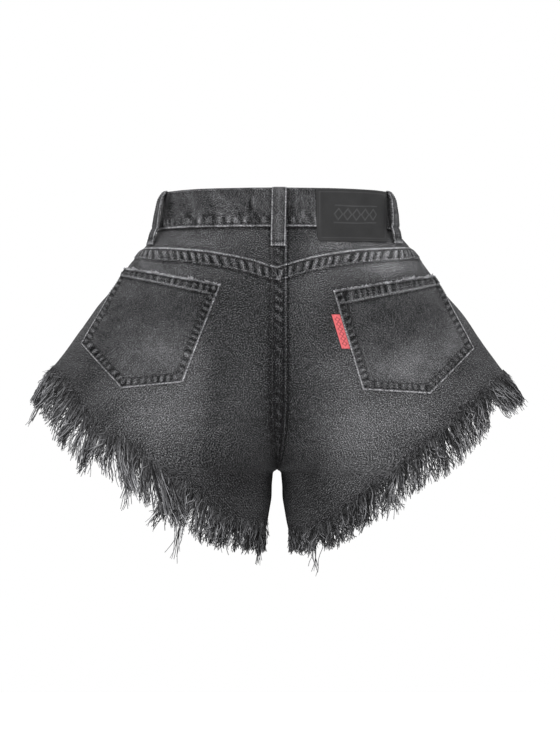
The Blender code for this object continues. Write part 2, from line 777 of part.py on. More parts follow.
def draw_lock(bm, root, headings, length):
    """Draws one lock out of the strip's lower edge, in as many stretches as there are headings."""
    face, width = root, 1.0
    for heading, share, pinch in zip(headings, LOCK_SHARES, LOCK_PINCH):
        face = bmesh.ops.extrude_discrete_faces(bm, faces=[face])["faces"][0]
        middle = face.calc_center_median()
        step = Vector(heading / np.linalg.norm(heading) * length * share * MM)
        for vertex in face.verts:
            vertex.co = middle + (vertex.co - middle) * (pinch / width) + step
        width = pinch


def make_fringe(word, side, half, finish, seed):
    """A strip of unravelling cloth under one panel's hem, with locks of warp threads drawn from it."""
    low, high = (0, 90) if half == "back" else (90, 180)
    around = ordered(side * np.linspace(low + 1e-9, high, FINE), side)
    hem = hem_height(around)
    heights = [hem - HEM_GAP, hem - HEM_GAP - FRINGE_STRIP]
    edge = (GAP / 2,)
    grid_around, grid_height = sheet_grid([around] * 2, heights, edge, edge, LOCKS)
    point, normal = surface(grid_around, grid_height)
    outer, inner = off_centre(point, side), off_centre(point - normal * CLOTH, side)
    bm, row_of, column_of = wall_mesh(outer, inner)
    roots = {}
    for face in bm.faces:
        columns = {vertex[column_of] for vertex in face.verts}
        if len(columns) == 2 and all(vertex[row_of] == 1 for vertex in face.verts):
            roots[min(columns)] = face
    lengths = {
        int(np.argmin(np.abs(np.abs(grid_around[1]) - turn))): length
        for strip, turn, length in LONG_LOCKS
        if strip == f"{half}_{word}"
    }
    chance = random.Random(seed)
    phase = chance.uniform(0, 6)
    for column, root in sorted(roots.items()):
        place, height = grid_around[1, column], grid_height[1, column]
        down = form(place, height - 3) - form(place, height)
        beside = form(place + 0.5, height) - form(place, height)
        sway = 0.10 * math.sin(column * 0.55 + phase) + 0.06 * math.sin(column * 0.23)
        headings = [
            down / np.linalg.norm(down) * (1 - sag)
            + np.array([0, 0, -1.0]) * sag
            + beside / np.linalg.norm(beside) * sway
            for sag in LOCK_SAG
        ]
        usual = float(FRINGE_LENGTH(word, abs(place))) * chance.uniform(0.72, 1.12)
        draw_lock(bm, root, headings, lengths.get(column, usual))
    return add_object(f"fringe_{half}_{word}", bm, finish)


# ---------------------------------------------------------------- the garment
def clear_scene():
    for thing in list(bpy.data.objects):
        bpy.data.objects.remove(thing)


clear_scene()
GARMENT = bpy.data.collections.new("denim_shorts")
bpy.context.scene.collection.children.link(GARMENT)

denim = material("washed_black_denim", (0.075, 0.076, 0.08))
dark_denim = material("denim_seams", (0.06, 0.061, 0.064))
thread = material("frayed_thread", (0.11, 0.11, 0.115))
leather = material("patch_leather", (0.035, 0.035, 0.038), roughness=0.6)
ribbon = material("tab_ribbon", (0.75, 0.09, 0.09), roughness=0.7)
metal = material("button_metal", (0.32, 0.31, 0.3), roughness=0.35, metallic=1.0)
tape = material("zip_tape", (0.02, 0.02, 0.022))

make_waistband(denim)
for word, side in SIDES:
    make_yoke(word, side, denim)
    make_back(word, side, denim)
    make_front(word, side, denim)
    make_facing(word, side, denim)
    make_pocket(word, side, dark_denim)
    for number, half in enumerate(("back", "front")):
        make_fringe(word, side, half, thread, seed=10 + 2 * number + (side > 0))
for name, (upper, lower, length, bow) in LOOPS.items():
    make_loop(name, upper, lower, length, bow, dark_denim)
make_patch(leather)
make_tab(ribbon)
make_zip(tape)
make_button(metal)
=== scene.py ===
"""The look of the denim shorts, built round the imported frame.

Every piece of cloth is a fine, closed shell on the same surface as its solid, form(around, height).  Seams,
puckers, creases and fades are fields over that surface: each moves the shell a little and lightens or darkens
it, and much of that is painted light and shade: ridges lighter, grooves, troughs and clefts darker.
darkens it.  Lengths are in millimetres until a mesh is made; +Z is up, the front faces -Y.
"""

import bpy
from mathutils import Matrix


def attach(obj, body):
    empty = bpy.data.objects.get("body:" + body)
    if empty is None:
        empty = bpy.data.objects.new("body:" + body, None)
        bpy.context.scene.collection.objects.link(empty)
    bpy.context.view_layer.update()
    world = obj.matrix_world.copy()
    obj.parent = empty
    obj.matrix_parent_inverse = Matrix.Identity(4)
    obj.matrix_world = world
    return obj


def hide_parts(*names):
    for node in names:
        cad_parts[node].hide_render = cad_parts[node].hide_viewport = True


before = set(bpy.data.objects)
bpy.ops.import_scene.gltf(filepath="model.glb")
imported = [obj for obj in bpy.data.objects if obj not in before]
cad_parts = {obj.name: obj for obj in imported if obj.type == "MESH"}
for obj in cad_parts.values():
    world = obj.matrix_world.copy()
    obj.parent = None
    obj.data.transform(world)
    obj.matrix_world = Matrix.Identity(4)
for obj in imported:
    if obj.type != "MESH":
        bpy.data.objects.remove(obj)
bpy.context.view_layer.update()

import math

import bpy
import numpy as np
from mathutils import Vector
from mathutils.bvhtree import BVHTree

MM = 0.001

# ---------------------------------------------------------------- the form, with the sizes of the solids
WAIST_SEAM = -23.0  # height of the waistband's lower edge
CROTCH = -258.0  # height where the four panels meet
SPLIT_TOP = -150.0  # below this height the centre seam curves under
INSEAM_BACK = 5.0  # how far behind the middle the inseam lies
SQUARE = 0.045  # how far a section is from an ellipse towards a rounded box
TUCK = 0.22  # the share of the width over which cloth is drawn in to the inseam
CLOTH = 1.2  # one layer of denim
BAND_OUT = 1.4  # how far the folded waistband stands proud of a panel
GAP = 0.3  # clearance between two pieces that are sewn together
LAID_GAP = 0.45  # clearance under a piece that lies on a panel
FELL_RISE = 0.9  # a felled seam's rise over the panel
CENTRE_FELL = {1: 6.0, -1: 10.0}  # reach of the felled centre back seam, to the left and right
YOKE_FELL = 12.0  # width of the felled yoke seam
LOOP_CLOTH = 1.8


class Table:
    """Rows of named columns, read at any key by a smooth curve.  The first column is the key."""

    def __init__(self, columns, rows):
        rows = sorted(rows)
        self.keys = np.array([row[0] for row in rows], float)
        self.columns = {name: np.array([row[i] for row in rows], float) for i, name in enumerate(columns)}

    def __call__(self, column, at):
        x, y = self.keys, self.columns[column]
        step, rise = np.diff(x), np.diff(y)
        slope = rise / step
        tangent = np.zeros_like(y)
        inner = slope[:-1] * slope[1:] > 0
        both = slope[:-1] + slope[1:]
        tangent[1:-1][inner] = 2 * (slope[:-1] * slope[1:])[inner] / both[inner]
        tangent[0], tangent[-1] = slope[0], slope[-1]
        at = np.asarray(at, float)
        inside = np.clip(at, x[0], x[-1])
        i = np.clip(np.searchsorted(x, inside) - 1, 0, len(step) - 1)
        u = (inside - x[i]) / step[i]
        value = (
            (1 + 2 * u) * (1 - u) ** 2 * y[i]
            + u * (1 - u) ** 2 * step[i] * tangent[i]
            + u * u * (3 - 2 * u) * y[i + 1]
            + u * u * (u - 1) * step[i] * tangent[i + 1]
        )
        return value + (at - inside) * np.where(at > inside, tangent[-1], tangent[0])


LEVELS = Table(
    ("height", "half_width", "back", "front"),
    [
        (19, 111, 80, 80),
        (-23, 119.5, 86, 84),
        (-30, 125, 88.5, 86),
        (-46, 139, 92, 88.5),
        (-62, 151, 96.5, 91),
        (-94, 175, 103, 95.5),
        (-126, 199, 109, 98.5),
        (-158, 223, 112.5, 100.5),
        (-200, 256, 114, 102),
        (-258, 300, 113, 103),
        (-330, 356, 110, 104),
    ],
)
LEG_GAP = Table(("height", "gap"), [(-258, 0), (-263, 3.2), (-290, 6.5), (-322, 13)])
ARCH = Table(("height", "gap"), [(-258, 0), (-259.5, 2.6), (-263, 2), (-275, 1), (-290, 0), (-345, 0)])
ARCH_HOLD = 12  # how closely the arch over the gap keeps to the inseam
WAIST_TOP = Table(("around", "height"), [(0, 15), (60, 14.5), (90, 17), (125, 15), (180, 14.5)])
YOKE_SEAM = Table(
    ("around", "height"),
    [(0, -63.5), (8, -56), (16, -51), (30, -46), (55, -42.5), (90, -40)],
)
HEM = Table(
    ("across", "left", "right"),
    [
        (12, -314, -321),
        (40, -307, -314),
        (63, -292, -297),
        (80, -277, -281),
        (112, -253, -257),
        (134, -234, -236),
        (158, -222, -218),
        (174, -213, -202),
        (184, -201, -195),
        (194, -187, -187),
        (206, -172, -177),
        (228, -158, -165),
    ],
)
FRONT_HEM_RISE = 5.0
FOLD_COLUMNS = ("around", "spread", "depth", "from_height", "to_height")
FOLDS = [
    (31, 9, 4.0, -120, -250),
    (50, 8, -3.0, -130, -230),
    (-30, 9, 3.5, -120, -250),
    (-52, 8, -3.0, -130, -230),
    (72, 8, 3.0, -90, -180),
    (-70, 8, 3.5, -90, -180),
    (112, 8, -3.5, -80, -190),
    (-114, 8, -3.0, -80, -190),
    (132, 9, 4.0, -90, -240),
    (-135, 9, 4.5, -90, -240),
    (152, 8, -3.0, -110, -260),
    (-154, 8, -3.5, -110, -260),
]


def ease(x):
    """Goes smoothly from 0 to 1 as x does."""
    x = np.clip(x, 0, 1)
    return x * x * (3 - 2 * x)


def bell(x, middle, half):
    """1 in the middle, 0.37 at the half width and almost nothing at twice that."""
    return np.exp(-(((x - middle) / half) ** 2))


def unit(v):
    return v / (np.linalg.norm(v, axis=-1, keepdims=True) + 1e-12)


def run_of(line):
    """How far along a polyline each of its points is."""
    return np.concatenate([[0], np.cumsum(np.linalg.norm(np.diff(line, axis=0), axis=1))])


def read_at(values, run, at):
    """Points or directions given along a run, read anywhere on it."""
    return np.stack([np.interp(at, run, values[:, i]) for i in range(3)], axis=-1)


def filled(corners, count):
    """Both coordinates of a line through a few corners, at this many points."""
    corners = np.array(corners, float)
    fine = np.linspace(0, len(corners) - 1, count)
    return [np.interp(fine, range(len(corners)), corners[:, i]) for i in (0, 1)]


def two_legs(height):
    u = np.clip((SPLIT_TOP - height) / (SPLIT_TOP - CROTCH), 0, 1)
    return 1 - np.sqrt(1 - u * u)


def section(turn, height):
    t = np.radians(turn)
    wide = LEVELS("half_width", height)
    depth = np.where(np.cos(t) > 0, LEVELS("back", height), LEVELS("front", height))
    across = (np.sin(t) + SQUARE * np.sin(3 * t)) / (1 - SQUARE)
    whole_y = depth * (np.cos(t) - SQUARE * np.cos(3 * t)) / (1 - SQUARE)
    share = np.abs(across) * (1 - np.exp(-np.abs(across) / TUCK)) / (1 - math.exp(-1 / TUCK))
    share = np.clip(share, 0, 1)
    gap = LEG_GAP("gap", np.minimum(height, CROTCH))
    arch = ARCH("gap", np.minimum(height, CROTCH)) * (1 - share) ** ARCH_HOLD
    leg_x = gap + (wide - gap) * share + arch
    leg_depth = np.where(np.sin(2 * t) > 0, LEVELS("back", height), -LEVELS("front", height))
    leg_y = 2 * leg_depth * np.sqrt(share * (1 - share)) + INSEAM_BACK * (1 - share)
    legs = two_legs(height)
    return (1 - legs) * wide * across + legs * leg_x, (1 - legs) * whole_y + legs * leg_y


def fold_depth(around, height):
    depth = np.zeros(np.broadcast(around, height).shape)
    for row in FOLDS:
        fold = dict(zip(FOLD_COLUMNS, row))
        run = (fold["from_height"] - height) / (fold["from_height"] - fold["to_height"])
        near = bell(around, fold["around"], fold["spread"])
        depth = depth + fold["depth"] * near * ease(run)
    return depth


def form(around, height):
    """Points of the cloth's outer surface, as an array whose last axis is x, y, z."""
    around, height = np.broadcast_arrays(np.asarray(around, float), np.asarray(height, float))
    side = np.where(np.signbit(around), -1.0, 1.0)
    turn = np.abs(around)
    x, y = section(turn, height)
    x0, y0 = section(turn - 0.4, height)
    x1, y1 = section(turn + 0.4, height)
    along = np.hypot(x1 - x0, y1 - y0) + 1e-9
    depth = fold_depth(around, height)
    x = x - depth * (y1 - y0) / along
    y = y + depth * (x1 - x0) / along
    return np.stack([side * x, y, height], axis=-1)


def surface(around, height):
    """Points of the form with their outward normals."""
    around, height = np.broadcast_arrays(np.asarray(around, float), np.asarray(height, float))
    side = np.where(np.signbit(around), -1.0, 1.0)
    turn = np.abs(around)
    x0, y0 = section(turn - 0.5, height)
    x1, y1 = section(turn + 0.5, height)
    xa, ya = section(turn, height + 1.0)
    xb, yb = section(turn, height - 1.0)
    lift = fold_depth(around, height - 1.0) - fold_depth(around, height + 1.0)
    across = np.stack([x1 - x0, y1 - y0, np.zeros_like(x0)], axis=-1)
    out = unit(np.stack([-(y1 - y0), x1 - x0, np.zeros_like(x0)], axis=-1))
    down = np.stack([xb - xa, yb - ya, np.full_like(x0, -2.0)], axis=-1) + out * lift[..., None]
    normal = unit(np.cross(across, down))
    normal[..., 0] *= side
    return form(around, height), normal


def hem_height(around):
    around = np.asarray(around, float)
    side = np.where(np.signbit(around), -1, 1)
    turn = np.abs(around)
    low, high = np.full(turn.shape, -345.0), np.full(turn.shape, -120.0)
    rise = FRONT_HEM_RISE * np.clip(-np.sin(2 * np.radians(turn)), 0, 1)
    for _ in range(30):
        middle = (low + high) / 2
        x, _y = section(turn, middle)
        hem = np.where(side > 0, HEM("left", x), HEM("right", x))
        above = middle > hem + rise
        high = np.where(above, middle, high)
        low = np.where(above, low, middle)
    return (low + high) / 2


def degrees_per_mm(around, height):
    step = 0.5
    return step / np.linalg.norm(form(around + step, height) - form(around, height), axis=-1)


def strip_grid(around, heights, across):
    around = np.broadcast_to(around, heights.shape)
    grid_around = around[:, None] + across[None, :] * degrees_per_mm(around, heights)[:, None]
    return grid_around, np.repeat(heights[:, None], len(across), axis=1)


def spread(row_around, row_height, first, last, between):
    """Columns along one row of cloth: set distances from its two ends, and even ones between them."""
    run = run_of(form(row_around, row_height))
    length = run[-1]
    middle = np.linspace(first[-1], length - last[-1], between + 1)[1:-1]
    at = np.concatenate([first, middle, length - np.array(last[::-1])])
    return np.interp(at, run, row_around), np.interp(at, run, row_height)


def sheet_grid(row_arounds, row_heights, first, last, between):
    columns = [spread(a, h, first, last, between) for a, h in zip(row_arounds, row_heights)]
    return np.array([c[0] for c in columns]), np.array([c[1] for c in columns])


def ordered(values, side):
    return values if side > 0 else values[::-1]


SIDES = (("left", 1), ("right", -1))
FINE = 240  # points in one border of a quarter of the garment


# ---------------------------------------------------------------- fields over the cloth
def wander(s, step, seed):
    """A smooth random line between -1 and 1, with a new value every step."""
    knots = np.random.default_rng(seed).uniform(-1, 1, 512)
    x = np.mod(np.asarray(s, float) / step, 511)
    i = x.astype(int)
    u = ease(x - i)
    return knots[i] * (1 - u) + knots[i + 1] * u


def mottle(x, y, step, seed):
    """A smooth random field between -1 and 1, with a new value every step both ways."""
    knots = np.random.default_rng(seed).uniform(-1, 1, (128, 128))
    x, y = np.mod(x / step, 127), np.mod(y / step, 127)
    i, j = x.astype(int), y.astype(int)
    u, v = ease(x - i), ease(y - j)
    top = knots[i, j] * (1 - u) + knots[i + 1, j] * u
    low = knots[i, j + 1] * (1 - u) + knots[i + 1, j + 1] * u
    return top * (1 - v) + low * v


BLOCK = 4000  # points measured at a time


def near_line(points, line):
    """Each point's distance from a polyline, and how far along the polyline that is."""
    start, step = line[:-1], np.diff(line, axis=0)
    size = (step**2).sum(-1) + 1e-12
    run = np.concatenate([[0], np.cumsum(np.sqrt(size))])
    flat = points.reshape(-1, 3)
    far, along = np.empty(len(flat)), np.empty(len(flat))
    for at in range(0, len(flat), BLOCK):
        part = flat[at : at + BLOCK]
        offset = part[:, None, :] - start[None]
        share = np.clip((offset * step[None]).sum(-1) / size, 0, 1)
        gap = np.linalg.norm(offset - share[..., None] * step[None], axis=-1)
        best = gap.argmin(axis=1)
        row = np.arange(len(part))
        far[at : at + BLOCK] = gap[row, best]
        along[at : at + BLOCK] = run[best] + share[row, best] * np.sqrt(size[best])
    return far.reshape(points.shape[:-1]), along.reshape(points.shape[:-1])


def thin(line, step=4):
    """A polyline with fewer points."""
    return np.concatenate([line[:-1:step], line[-1:]])


# Shade: how light the cloth is, 0 black and 1 nearly white.
CLOTH_SHADE = 0.212
# Soft light and dark places: the wash's fade, and painted shade where it falls between the legs, by the
# crotch and centre seam, beside the belt loop at the back and at the outer sides; middle across and height,
# half sizes, lean in degrees, and strength.
BACK_SPOTS = [
    (62, -37, 46, 13, 2, 0.045),
    (-52, -43, 40, 11, -4, 0.090),
    (-100, -55, 22, 14, 0, 0.110),
    (172, -105, 14, 24, -25, 0.060),
    (-174, -118, 14, 24, 25, 0.070),
    (105, -205, 44, 28, 18, 0.130),
    (118, -140, 26, 20, 0, 0.080),
    (-76, -224, 44, 34, -14, 0.095),
    (-106, -199, 42, 20, -12, 0.045),
    (-41, -108, 20, 44, 6, 0.020),
    (-133, -149, 26, 24, 0, 0.080),
    (24, -105, 26, 45, 0, -0.095),
    (-24, -105, 20, 45, 0, -0.050),
    (56, -150, 20, 62, -4, -0.080),
    (95, -98, 60, 22, -8, -0.060),
    (-112, -104, 60, 24, 8, -0.085),
    (172, -143, 16, 36, 20, -0.060),
    (-48, -122, 18, 34, 0, -0.070),
    (45, -285, 34, 24, -20, -0.085),
    (-44, -280, 24, 18, 20, -0.060),
    (38, -40, 18, 12, 0, -0.050),
    (-118, -160, 20, 14, 10, 0.055),
    (-174, -158, 14, 14, 0, -0.070),
    (182, -172, 12, 18, 20, -0.080),
    (160, -202, 14, 12, 0, -0.070),
    (114, -136, 14, 16, 20, 0.035),
    (-13, -200, 24, 40, 0, -0.060),
    (66, -250, 40, 34, 30, -0.080),
    (35, -240, 22, 60, 12, -0.070),
    (-32, -250, 20, 60, -10, -0.070),
    (0, -262, 30, 46, 0, -0.040),
    (112, -64, 24, 7, 8, 0.070),
    (-118, -62, 26, 7, -8, 0.085),
    (-14, -4, 13, 28, 0, -0.150),
    (-14, -44, 20, 18, 0, -0.110),
    (118, -45, 22, 9, 0, 0.080),
    (-108, -45, 22, 9, 0, 0.090),
    (-72, -64, 44, 9, 0, 0.050),
    (140, -84, 10, 9, 0, 0.060),
    (-130, -86, 22, 9, 0, 0.050),
    (80, -158, 20, 22, 0, 0.105),
    (-95, -160, 42, 12, 0, 0.055),
    (-166, -135, 12, 16, 0, 0.060),
    (-134, -206, 12, 12, 0, 0.060),
    (-127, -122, 10, 10, 0, -0.040),
    (-56, -112, 8, 18, 0, -0.035),
    (-32, -86, 14, 22, 0, 0.050),
    (-51, -158, 14, 14, 0, 0.040),
    (-127, -168, 16, 10, 0, 0.040),
    (-70, -178, 18, 12, 0, 0.040),
    (121, -46, 14, 14, 0, 0.045),
    (-117, -50, 8, 12, 0, 0.055),
    (-108, -66, 16, 10, 0, 0.030),
]
# The same for the front: the wash's fade on the thighs, and painted shade at the crotch, the inner legs and
# the outer sides.
FRONT_SPOTS = [
    (78, -150, 44, 50, 0, 0.100),
    (-80, -155, 44, 48, 0, 0.100),
    (60, -70, 30, 30, 0, 0.030),
    (-58, -72, 30, 30, 0, 0.030),
    (0, -255, 36, 50, 0, -0.070),
    (180, -150, 30, 40, 30, -0.050),
    (-184, -155, 30, 40, -30, -0.050),
    (30, -235, 20, 50, 8, -0.040),
    (-30, -238, 20, 50, -8, -0.040),
]
# Creases: a line of around and height, its half width, its depth (outward if positive) and its own painted
# shade, lighter on a ridge and darker in a trough.
CREASES = [
    (((66, -49), (60, -55), (52, -60)), 3.0, 0.9, 0.09),
    (((78, -52), (68, -57), (58, -58)), 3.4, -1.0, -0.08),
    (((84, -50), (74, -61), (64, -66)), 3.2, 0.9, 0.09),
    (((44, -50), (40, -60), (33, -68)), 4.0, -0.8, -0.05),
    (((38, -56), (30, -64), (24, -76)), 5.0, 0.8, 0.02),
    (((-60, -50), (-57, -56), (-55, -63)), 2.2, 0.9, 0.06),
    (((-66, -49), (-62, -56), (-58, -65)), 2.2, 0.9, 0.09),
    (((-70, -48), (-69, -56), (-70, -66)), 2.6, -0.9, -0.04),
    (((-80, -48), (-73, -55), (-66, -66)), 2.4, 1.0, 0.10),
    (((-50, -49), (-49, -55), (-51, -62)), 2.4, -0.8, -0.04),
    (((11, -140), (12, -200), (13.5, -285)), 10.0, -1.4, -0.05),
    (((22, -190), (22, -220), (21, -262)), 8.0, 0.9, 0.02),
    (((-14, -150), (-15, -190), (-16, -245)), 9.0, 0.9, 0.02),
    (((-9, -210), (-9, -240), (-8, -290)), 7.0, -0.9, -0.03),
    (((70, -80), (78, -98), (82, -120)), 7.0, 1.5, 0.02),
    (((-72, -84), (-80, -104), (-84, -128)), 7.0, 1.6, 0.02),
    (((176, -180), (166, -196), (152, -206)), 6.0, 1.8, 0.03),
    (((-176, -176), (-165, -194), (-150, -208)), 6.5, 1.9, 0.03),
    (((175, -198), (163, -216), (147, -226)), 7.0, -1.6, -0.02),
    (((-175, -202), (-163, -220), (-148, -232)), 7.0, -1.7, -0.02),
    (((172, -150), (160, -162), (144, -166)), 6.0, 1.5, 0.03),
    (((-172, -154), (-160, -160), (-143, -170)), 6.0, 1.6, 0.03),
    (((120, -96), (132, -104), (142, -120)), 6.0, -1.4, -0.02),
    (((-118, -98), (-130, -108), (-143, -118)), 6.5, -1.5, -0.02),
    (((96, -120), (104, -140), (108, -158)), 7.0, 1.7, 0.02),
    (((-97, -126), (-105, -142), (-110, -164)), 7.5, 1.8, 0.02),
]
HEM_SHADE = -0.06  # the border above the raw hem is darker
HEM_REACH = 20.0


WEAVE_TURNS, WEAVE_TURN = 196, 0.5  # how far round the weave is measured, in degrees, and how finely
WEAVE_TOP, WEAVE_FOOT, WEAVE_LEVEL = 25, -350, 2.0  # and from which height to which


def weave_table():
    """How far round and down the form each turn and height lies, for the weave of the cloth."""
    turns = np.arange(0, WEAVE_TURNS, WEAVE_TURN) + 1e-9
    points = form(turns, np.arange(WEAVE_TOP, WEAVE_FOOT, -WEAVE_LEVEL)[:, None])
    return np.stack([run_on_grid(points, axis) for axis in (1, 0)], axis=-1)


def run_on_grid(points, axis):
    """Millimetres from a grid's first row or column."""
    step = np.linalg.norm(np.diff(points, axis=axis), axis=-1)
    zero = np.zeros_like(np.take(step, [0], axis=axis))
    return np.cumsum(np.concatenate([zero, step], axis=axis), axis=axis)


WEAVE = weave_table()


def weave_place(around, height):
    """Millimetres along the weave, both ways."""
    column = np.clip(np.abs(around) / WEAVE_TURN, 0, WEAVE.shape[1] - 1.001)
    row = np.clip((WEAVE_TOP - height) / WEAVE_LEVEL, 0, WEAVE.shape[0] - 1.001)
    i, j = row.astype(int), column.astype(int)
    u, v = (row - i)[..., None], (column - j)[..., None]
    top = WEAVE[i, j] * (1 - v) + WEAVE[i, j + 1] * v
    low = WEAVE[i + 1, j] * (1 - v) + WEAVE[i + 1, j + 1] * v
    side = np.where(np.signbit(around), -1.0, 1.0)
    return (top * (1 - u) + low * u) * np.stack([side, np.ones_like(side)], axis=-1)


# SWELL_SHADE paints the swells lighter where they rise and darker where they sink.
SWELL_STEP, SWELL_LIFT, SWELL_SHADE = 17, 0.35, 0.018  # soft swells all over the cloth
RIPPLE_STEP, RIPPLE_SHADE = 6, 0.015
CREASE_REACH = 60  # farther than this from its middle, a crease does nothing


class Patch:
    """A patch of cloth: a grid of points with their lifts and shades."""

    def __init__(self, around, height, lift=0.0):
        self.around, self.height = around, height
        self.point, self.normal = surface(around, height)
        self.lift = np.zeros(around.shape) + lift
        self.shade = np.full(around.shape, CLOTH_SHADE)
        self.across = run_on_grid(self.point, 1)
        self.down = run_on_grid(self.point, 0)

    def outer(self):
        return self.point + self.normal * self.lift[..., None]

    def both_ways(self, forward):
        """Distances from the first column and from the last one, or the other way round."""
        ways = (self.across, self.across[:, -1:] - self.across)
        return ways if forward else ways[::-1]

    def edge(self, word):
        """One border of the patch as a polyline."""
        rows = {"top": np.s_[0, :], "foot": np.s_[-1, :], "first": np.s_[:, 0], "last": np.s_[:, -1]}
        return self.point[rows[word]]

    def fade(self):
        """The soft fades and creases of this part of the garment, with painted light and shade: dark spots
        where shade falls, creases lighter on their ridges and darker in their troughs, and swells lighter
        where they rise.
        """
        x, y, z = (self.point[..., i] for i in range(3))
        back = ease(y / 40 + 0.5)
        for spots, share in ((BACK_SPOTS, back), (FRONT_SPOTS, 1 - back)):
            for across, height, wide, tall, lean, light in spots:
                c, s = math.cos(math.radians(lean)), math.sin(math.radians(lean))
                u = ((x - across) * c + (z - height) * s) / wide
                v = ((z - height) * c - (x - across) * s) / tall
                self.shade += light * share * np.exp(-(u * u + v * v))
        # Each crease is painted lighter along a ridge and darker along a trough, as light and shade.
        for line, half, depth, light in CREASES:
            path = form(*filled(line, 9))
            if np.abs(self.point - path[4]).max(-1).min() > CREASE_REACH:
                continue
            far, along = near_line(self.point, path)
            share = np.clip(along / run_of(path)[-1], 0.04, 0.96)
            self.swell(bell(far, 0, half) * np.sin(np.pi * share) ** 0.7, depth, light)
        turned = self.around * 1.6  # about millimetres
        # Swells are painted lighter where they rise and darker where they sink.
        self.swell(mottle(turned + 700, z + 500, step=SWELL_STEP, seed=5), SWELL_LIFT, SWELL_SHADE)
        self.shade += RIPPLE_SHADE * mottle(turned + 900, z + 600, step=RIPPLE_STEP, seed=6)

    def swell(self, share, depth, light):
        """Moves the cloth out, and lightens it, by a share of each."""
        self.lift += depth * share
        self.shade += light * share

    def puckers(self, far, along, near, out, period, depth, light, slant, seed):
        """Puckers of a sewn band between two distances from an edge, lighter on their ridges and darker
        between: partly worn ridges, partly painted shade.
        """
        middle, half = (near + out) / 2, (out - near) / 2
        uneven = 0.35 * wander(along, step=2.7 * period, seed=seed)
        phase = along / period + slant * (far - middle) / period + uneven
        strength = 0.7 + 0.45 * wander(along, step=1.3 * period, seed=seed + 1)
        window = ease((half * 1.15 - np.abs(far - middle)) / (half * 0.5))
        self.swell(np.cos(2 * np.pi * phase) * strength * window, depth, light)

    def line(self, far, at, half, depth=0.0, light=0.0):
        """A line along an edge, raised or sunk and lighter or darker: worn ridges, and grooves and shadows
        beside edges painted darker as shade.
        """
        self.swell(bell(far, at, half), depth, light)

    def beads(self, far, along, at, half, light, pitch, seed):
        """A pale worn edge, broken up by its stitches."""
        uneven = 0.78 + 0.30 * np.cos(2 * np.pi * along / pitch) + 0.30 * wander(along, step=2.6, seed=seed)
        self.shade += light * bell(far, at, half) * np.clip(uneven, 0.1, 1.5)

    def darken_hem(self, hem, hem_run, seed):
        """The uneven dark border above the raw hem."""
        border = ease((HEM_REACH - hem) / HEM_REACH)
        self.shade += HEM_SHADE * border * (0.8 + 0.3 * wander(hem_run, step=11, seed=seed))

    def fell(self, far, width, rise):
        """A band along an edge that stands up by one more layer."""
        self.lift += rise * ease((width - far) / 1.2 + 0.5)

    def turn_edge(self, far, radius, drop):
        """A folded edge rolls over."""
        u = np.clip(1 - far / radius, 0, 1)
        self.lift -= drop * (1 - np.sqrt(1 - u * u))


def add_mesh(name, points, faces, finishes, finish_of=None, shade=None, cloth=None, sharp=50):
    mesh = bpy.data.meshes.new(name)
    mesh.from_pydata((points * MM).tolist(), [], faces.tolist() if hasattr(faces, "tolist") else faces)
    for finish in finishes:
        mesh.materials.append(finish)
    if finish_of is not None:
        mesh.polygons.foreach_set("material_index", np.asarray(finish_of, dtype=np.int32))
    mesh.shade_smooth()
    mesh.set_sharp_from_angle(angle=math.radians(sharp))
    if shade is not None:
        mesh.attributes.new("shade", "FLOAT", "POINT").data.foreach_set("value", shade.astype(np.float32))
    if cloth is not None:
        cloth = np.concatenate([cloth, np.zeros((len(cloth), 1))], axis=1).astype(np.float32)
        mesh.attributes.new("cloth", "FLOAT_VECTOR", "POINT").data.foreach_set("vector", cloth.ravel())
    made = bpy.data.objects.new(name, mesh)
    bpy.context.scene.collection.objects.link(made)
    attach(made, "root")
    return made


def grid_quads(index):
    corners = [index[:-1, :-1], index[:-1, 1:], index[1:, 1:], index[1:, :-1]]
    return np.stack(corners, axis=-1).reshape(-1, 4)


THINNEST = 0.85  # what a trough leaves of the cloth
INNER_STEP = 3  # the inner face has one row and column for this many of the outer face's
TREES = {}  # each shell's outer face, to sew on


def shell(name, patch, finish, lining, back=-CLOTH):
    """A closed shell: the patch's outer face, a plain inner face and a rim."""
    outer = patch.outer()
    back = np.minimum(back, patch.lift - THINNEST)
    inner = patch.point + patch.normal * back[..., None]
    rows, columns = patch.lift.shape
    count = rows * columns
    index = np.arange(count).reshape(rows, columns)
    quads = grid_quads(index)
    row_pick, column_pick = (sorted({*range(0, n - 1, INNER_STEP), n - 1}) for n in (rows, columns))
    picked = np.ix_(row_pick, column_pick)
    inner_index = np.full((rows, columns), -1)
    inner_index[picked] = count + np.arange(len(row_pick) * len(column_pick)).reshape(len(row_pick), -1)
    inner_quads = grid_quads(inner_index[picked])[:, ::-1]
    rims = []
    for outer_line, inner_line in (
        (index[0], inner_index[0]),
        (index[:, -1], inner_index[:, -1]),
        (index[-1, ::-1], inner_index[-1, ::-1]),
        (index[::-1, 0], inner_index[::-1, 0]),
    ):
        stops = np.flatnonzero(inner_line >= 0)
        for start, stop in zip(stops[:-1], stops[1:]):
            rims.append([*outer_line[start : stop + 1][::-1], inner_line[start], inner_line[stop]])
    faces = quads.tolist() + inner_quads.tolist() + [[int(i) for i in rim] for rim in rims]
    r, q = rows // 2, columns // 2
    way = np.cross(outer[r, q + 1] - outer[r, q], outer[r + 1, q] - outer[r, q])
    if np.dot(way, patch.normal[r, q]) < 0:
        faces = [face[::-1] for face in faces]
    points = np.concatenate([outer.reshape(-1, 3), inner[picked].reshape(-1, 3)])
    shade = np.concatenate([patch.shade.ravel(), np.full(len(points) - count, CLOTH_SHADE)])
    cloth = weave_place(patch.around, patch.height)
    cloth = np.concatenate([cloth.reshape(-1, 2), cloth[picked].reshape(-1, 2)])
    lined = np.concatenate([np.zeros(len(quads)), np.ones(len(inner_quads)), np.zeros(len(rims))])
    made = add_mesh(name, points, faces, [finish, lining], lined, shade, cloth)
    TREES[name] = BVHTree.FromPolygons(outer.reshape(-1, 3).tolist(), quads.tolist())
    return made


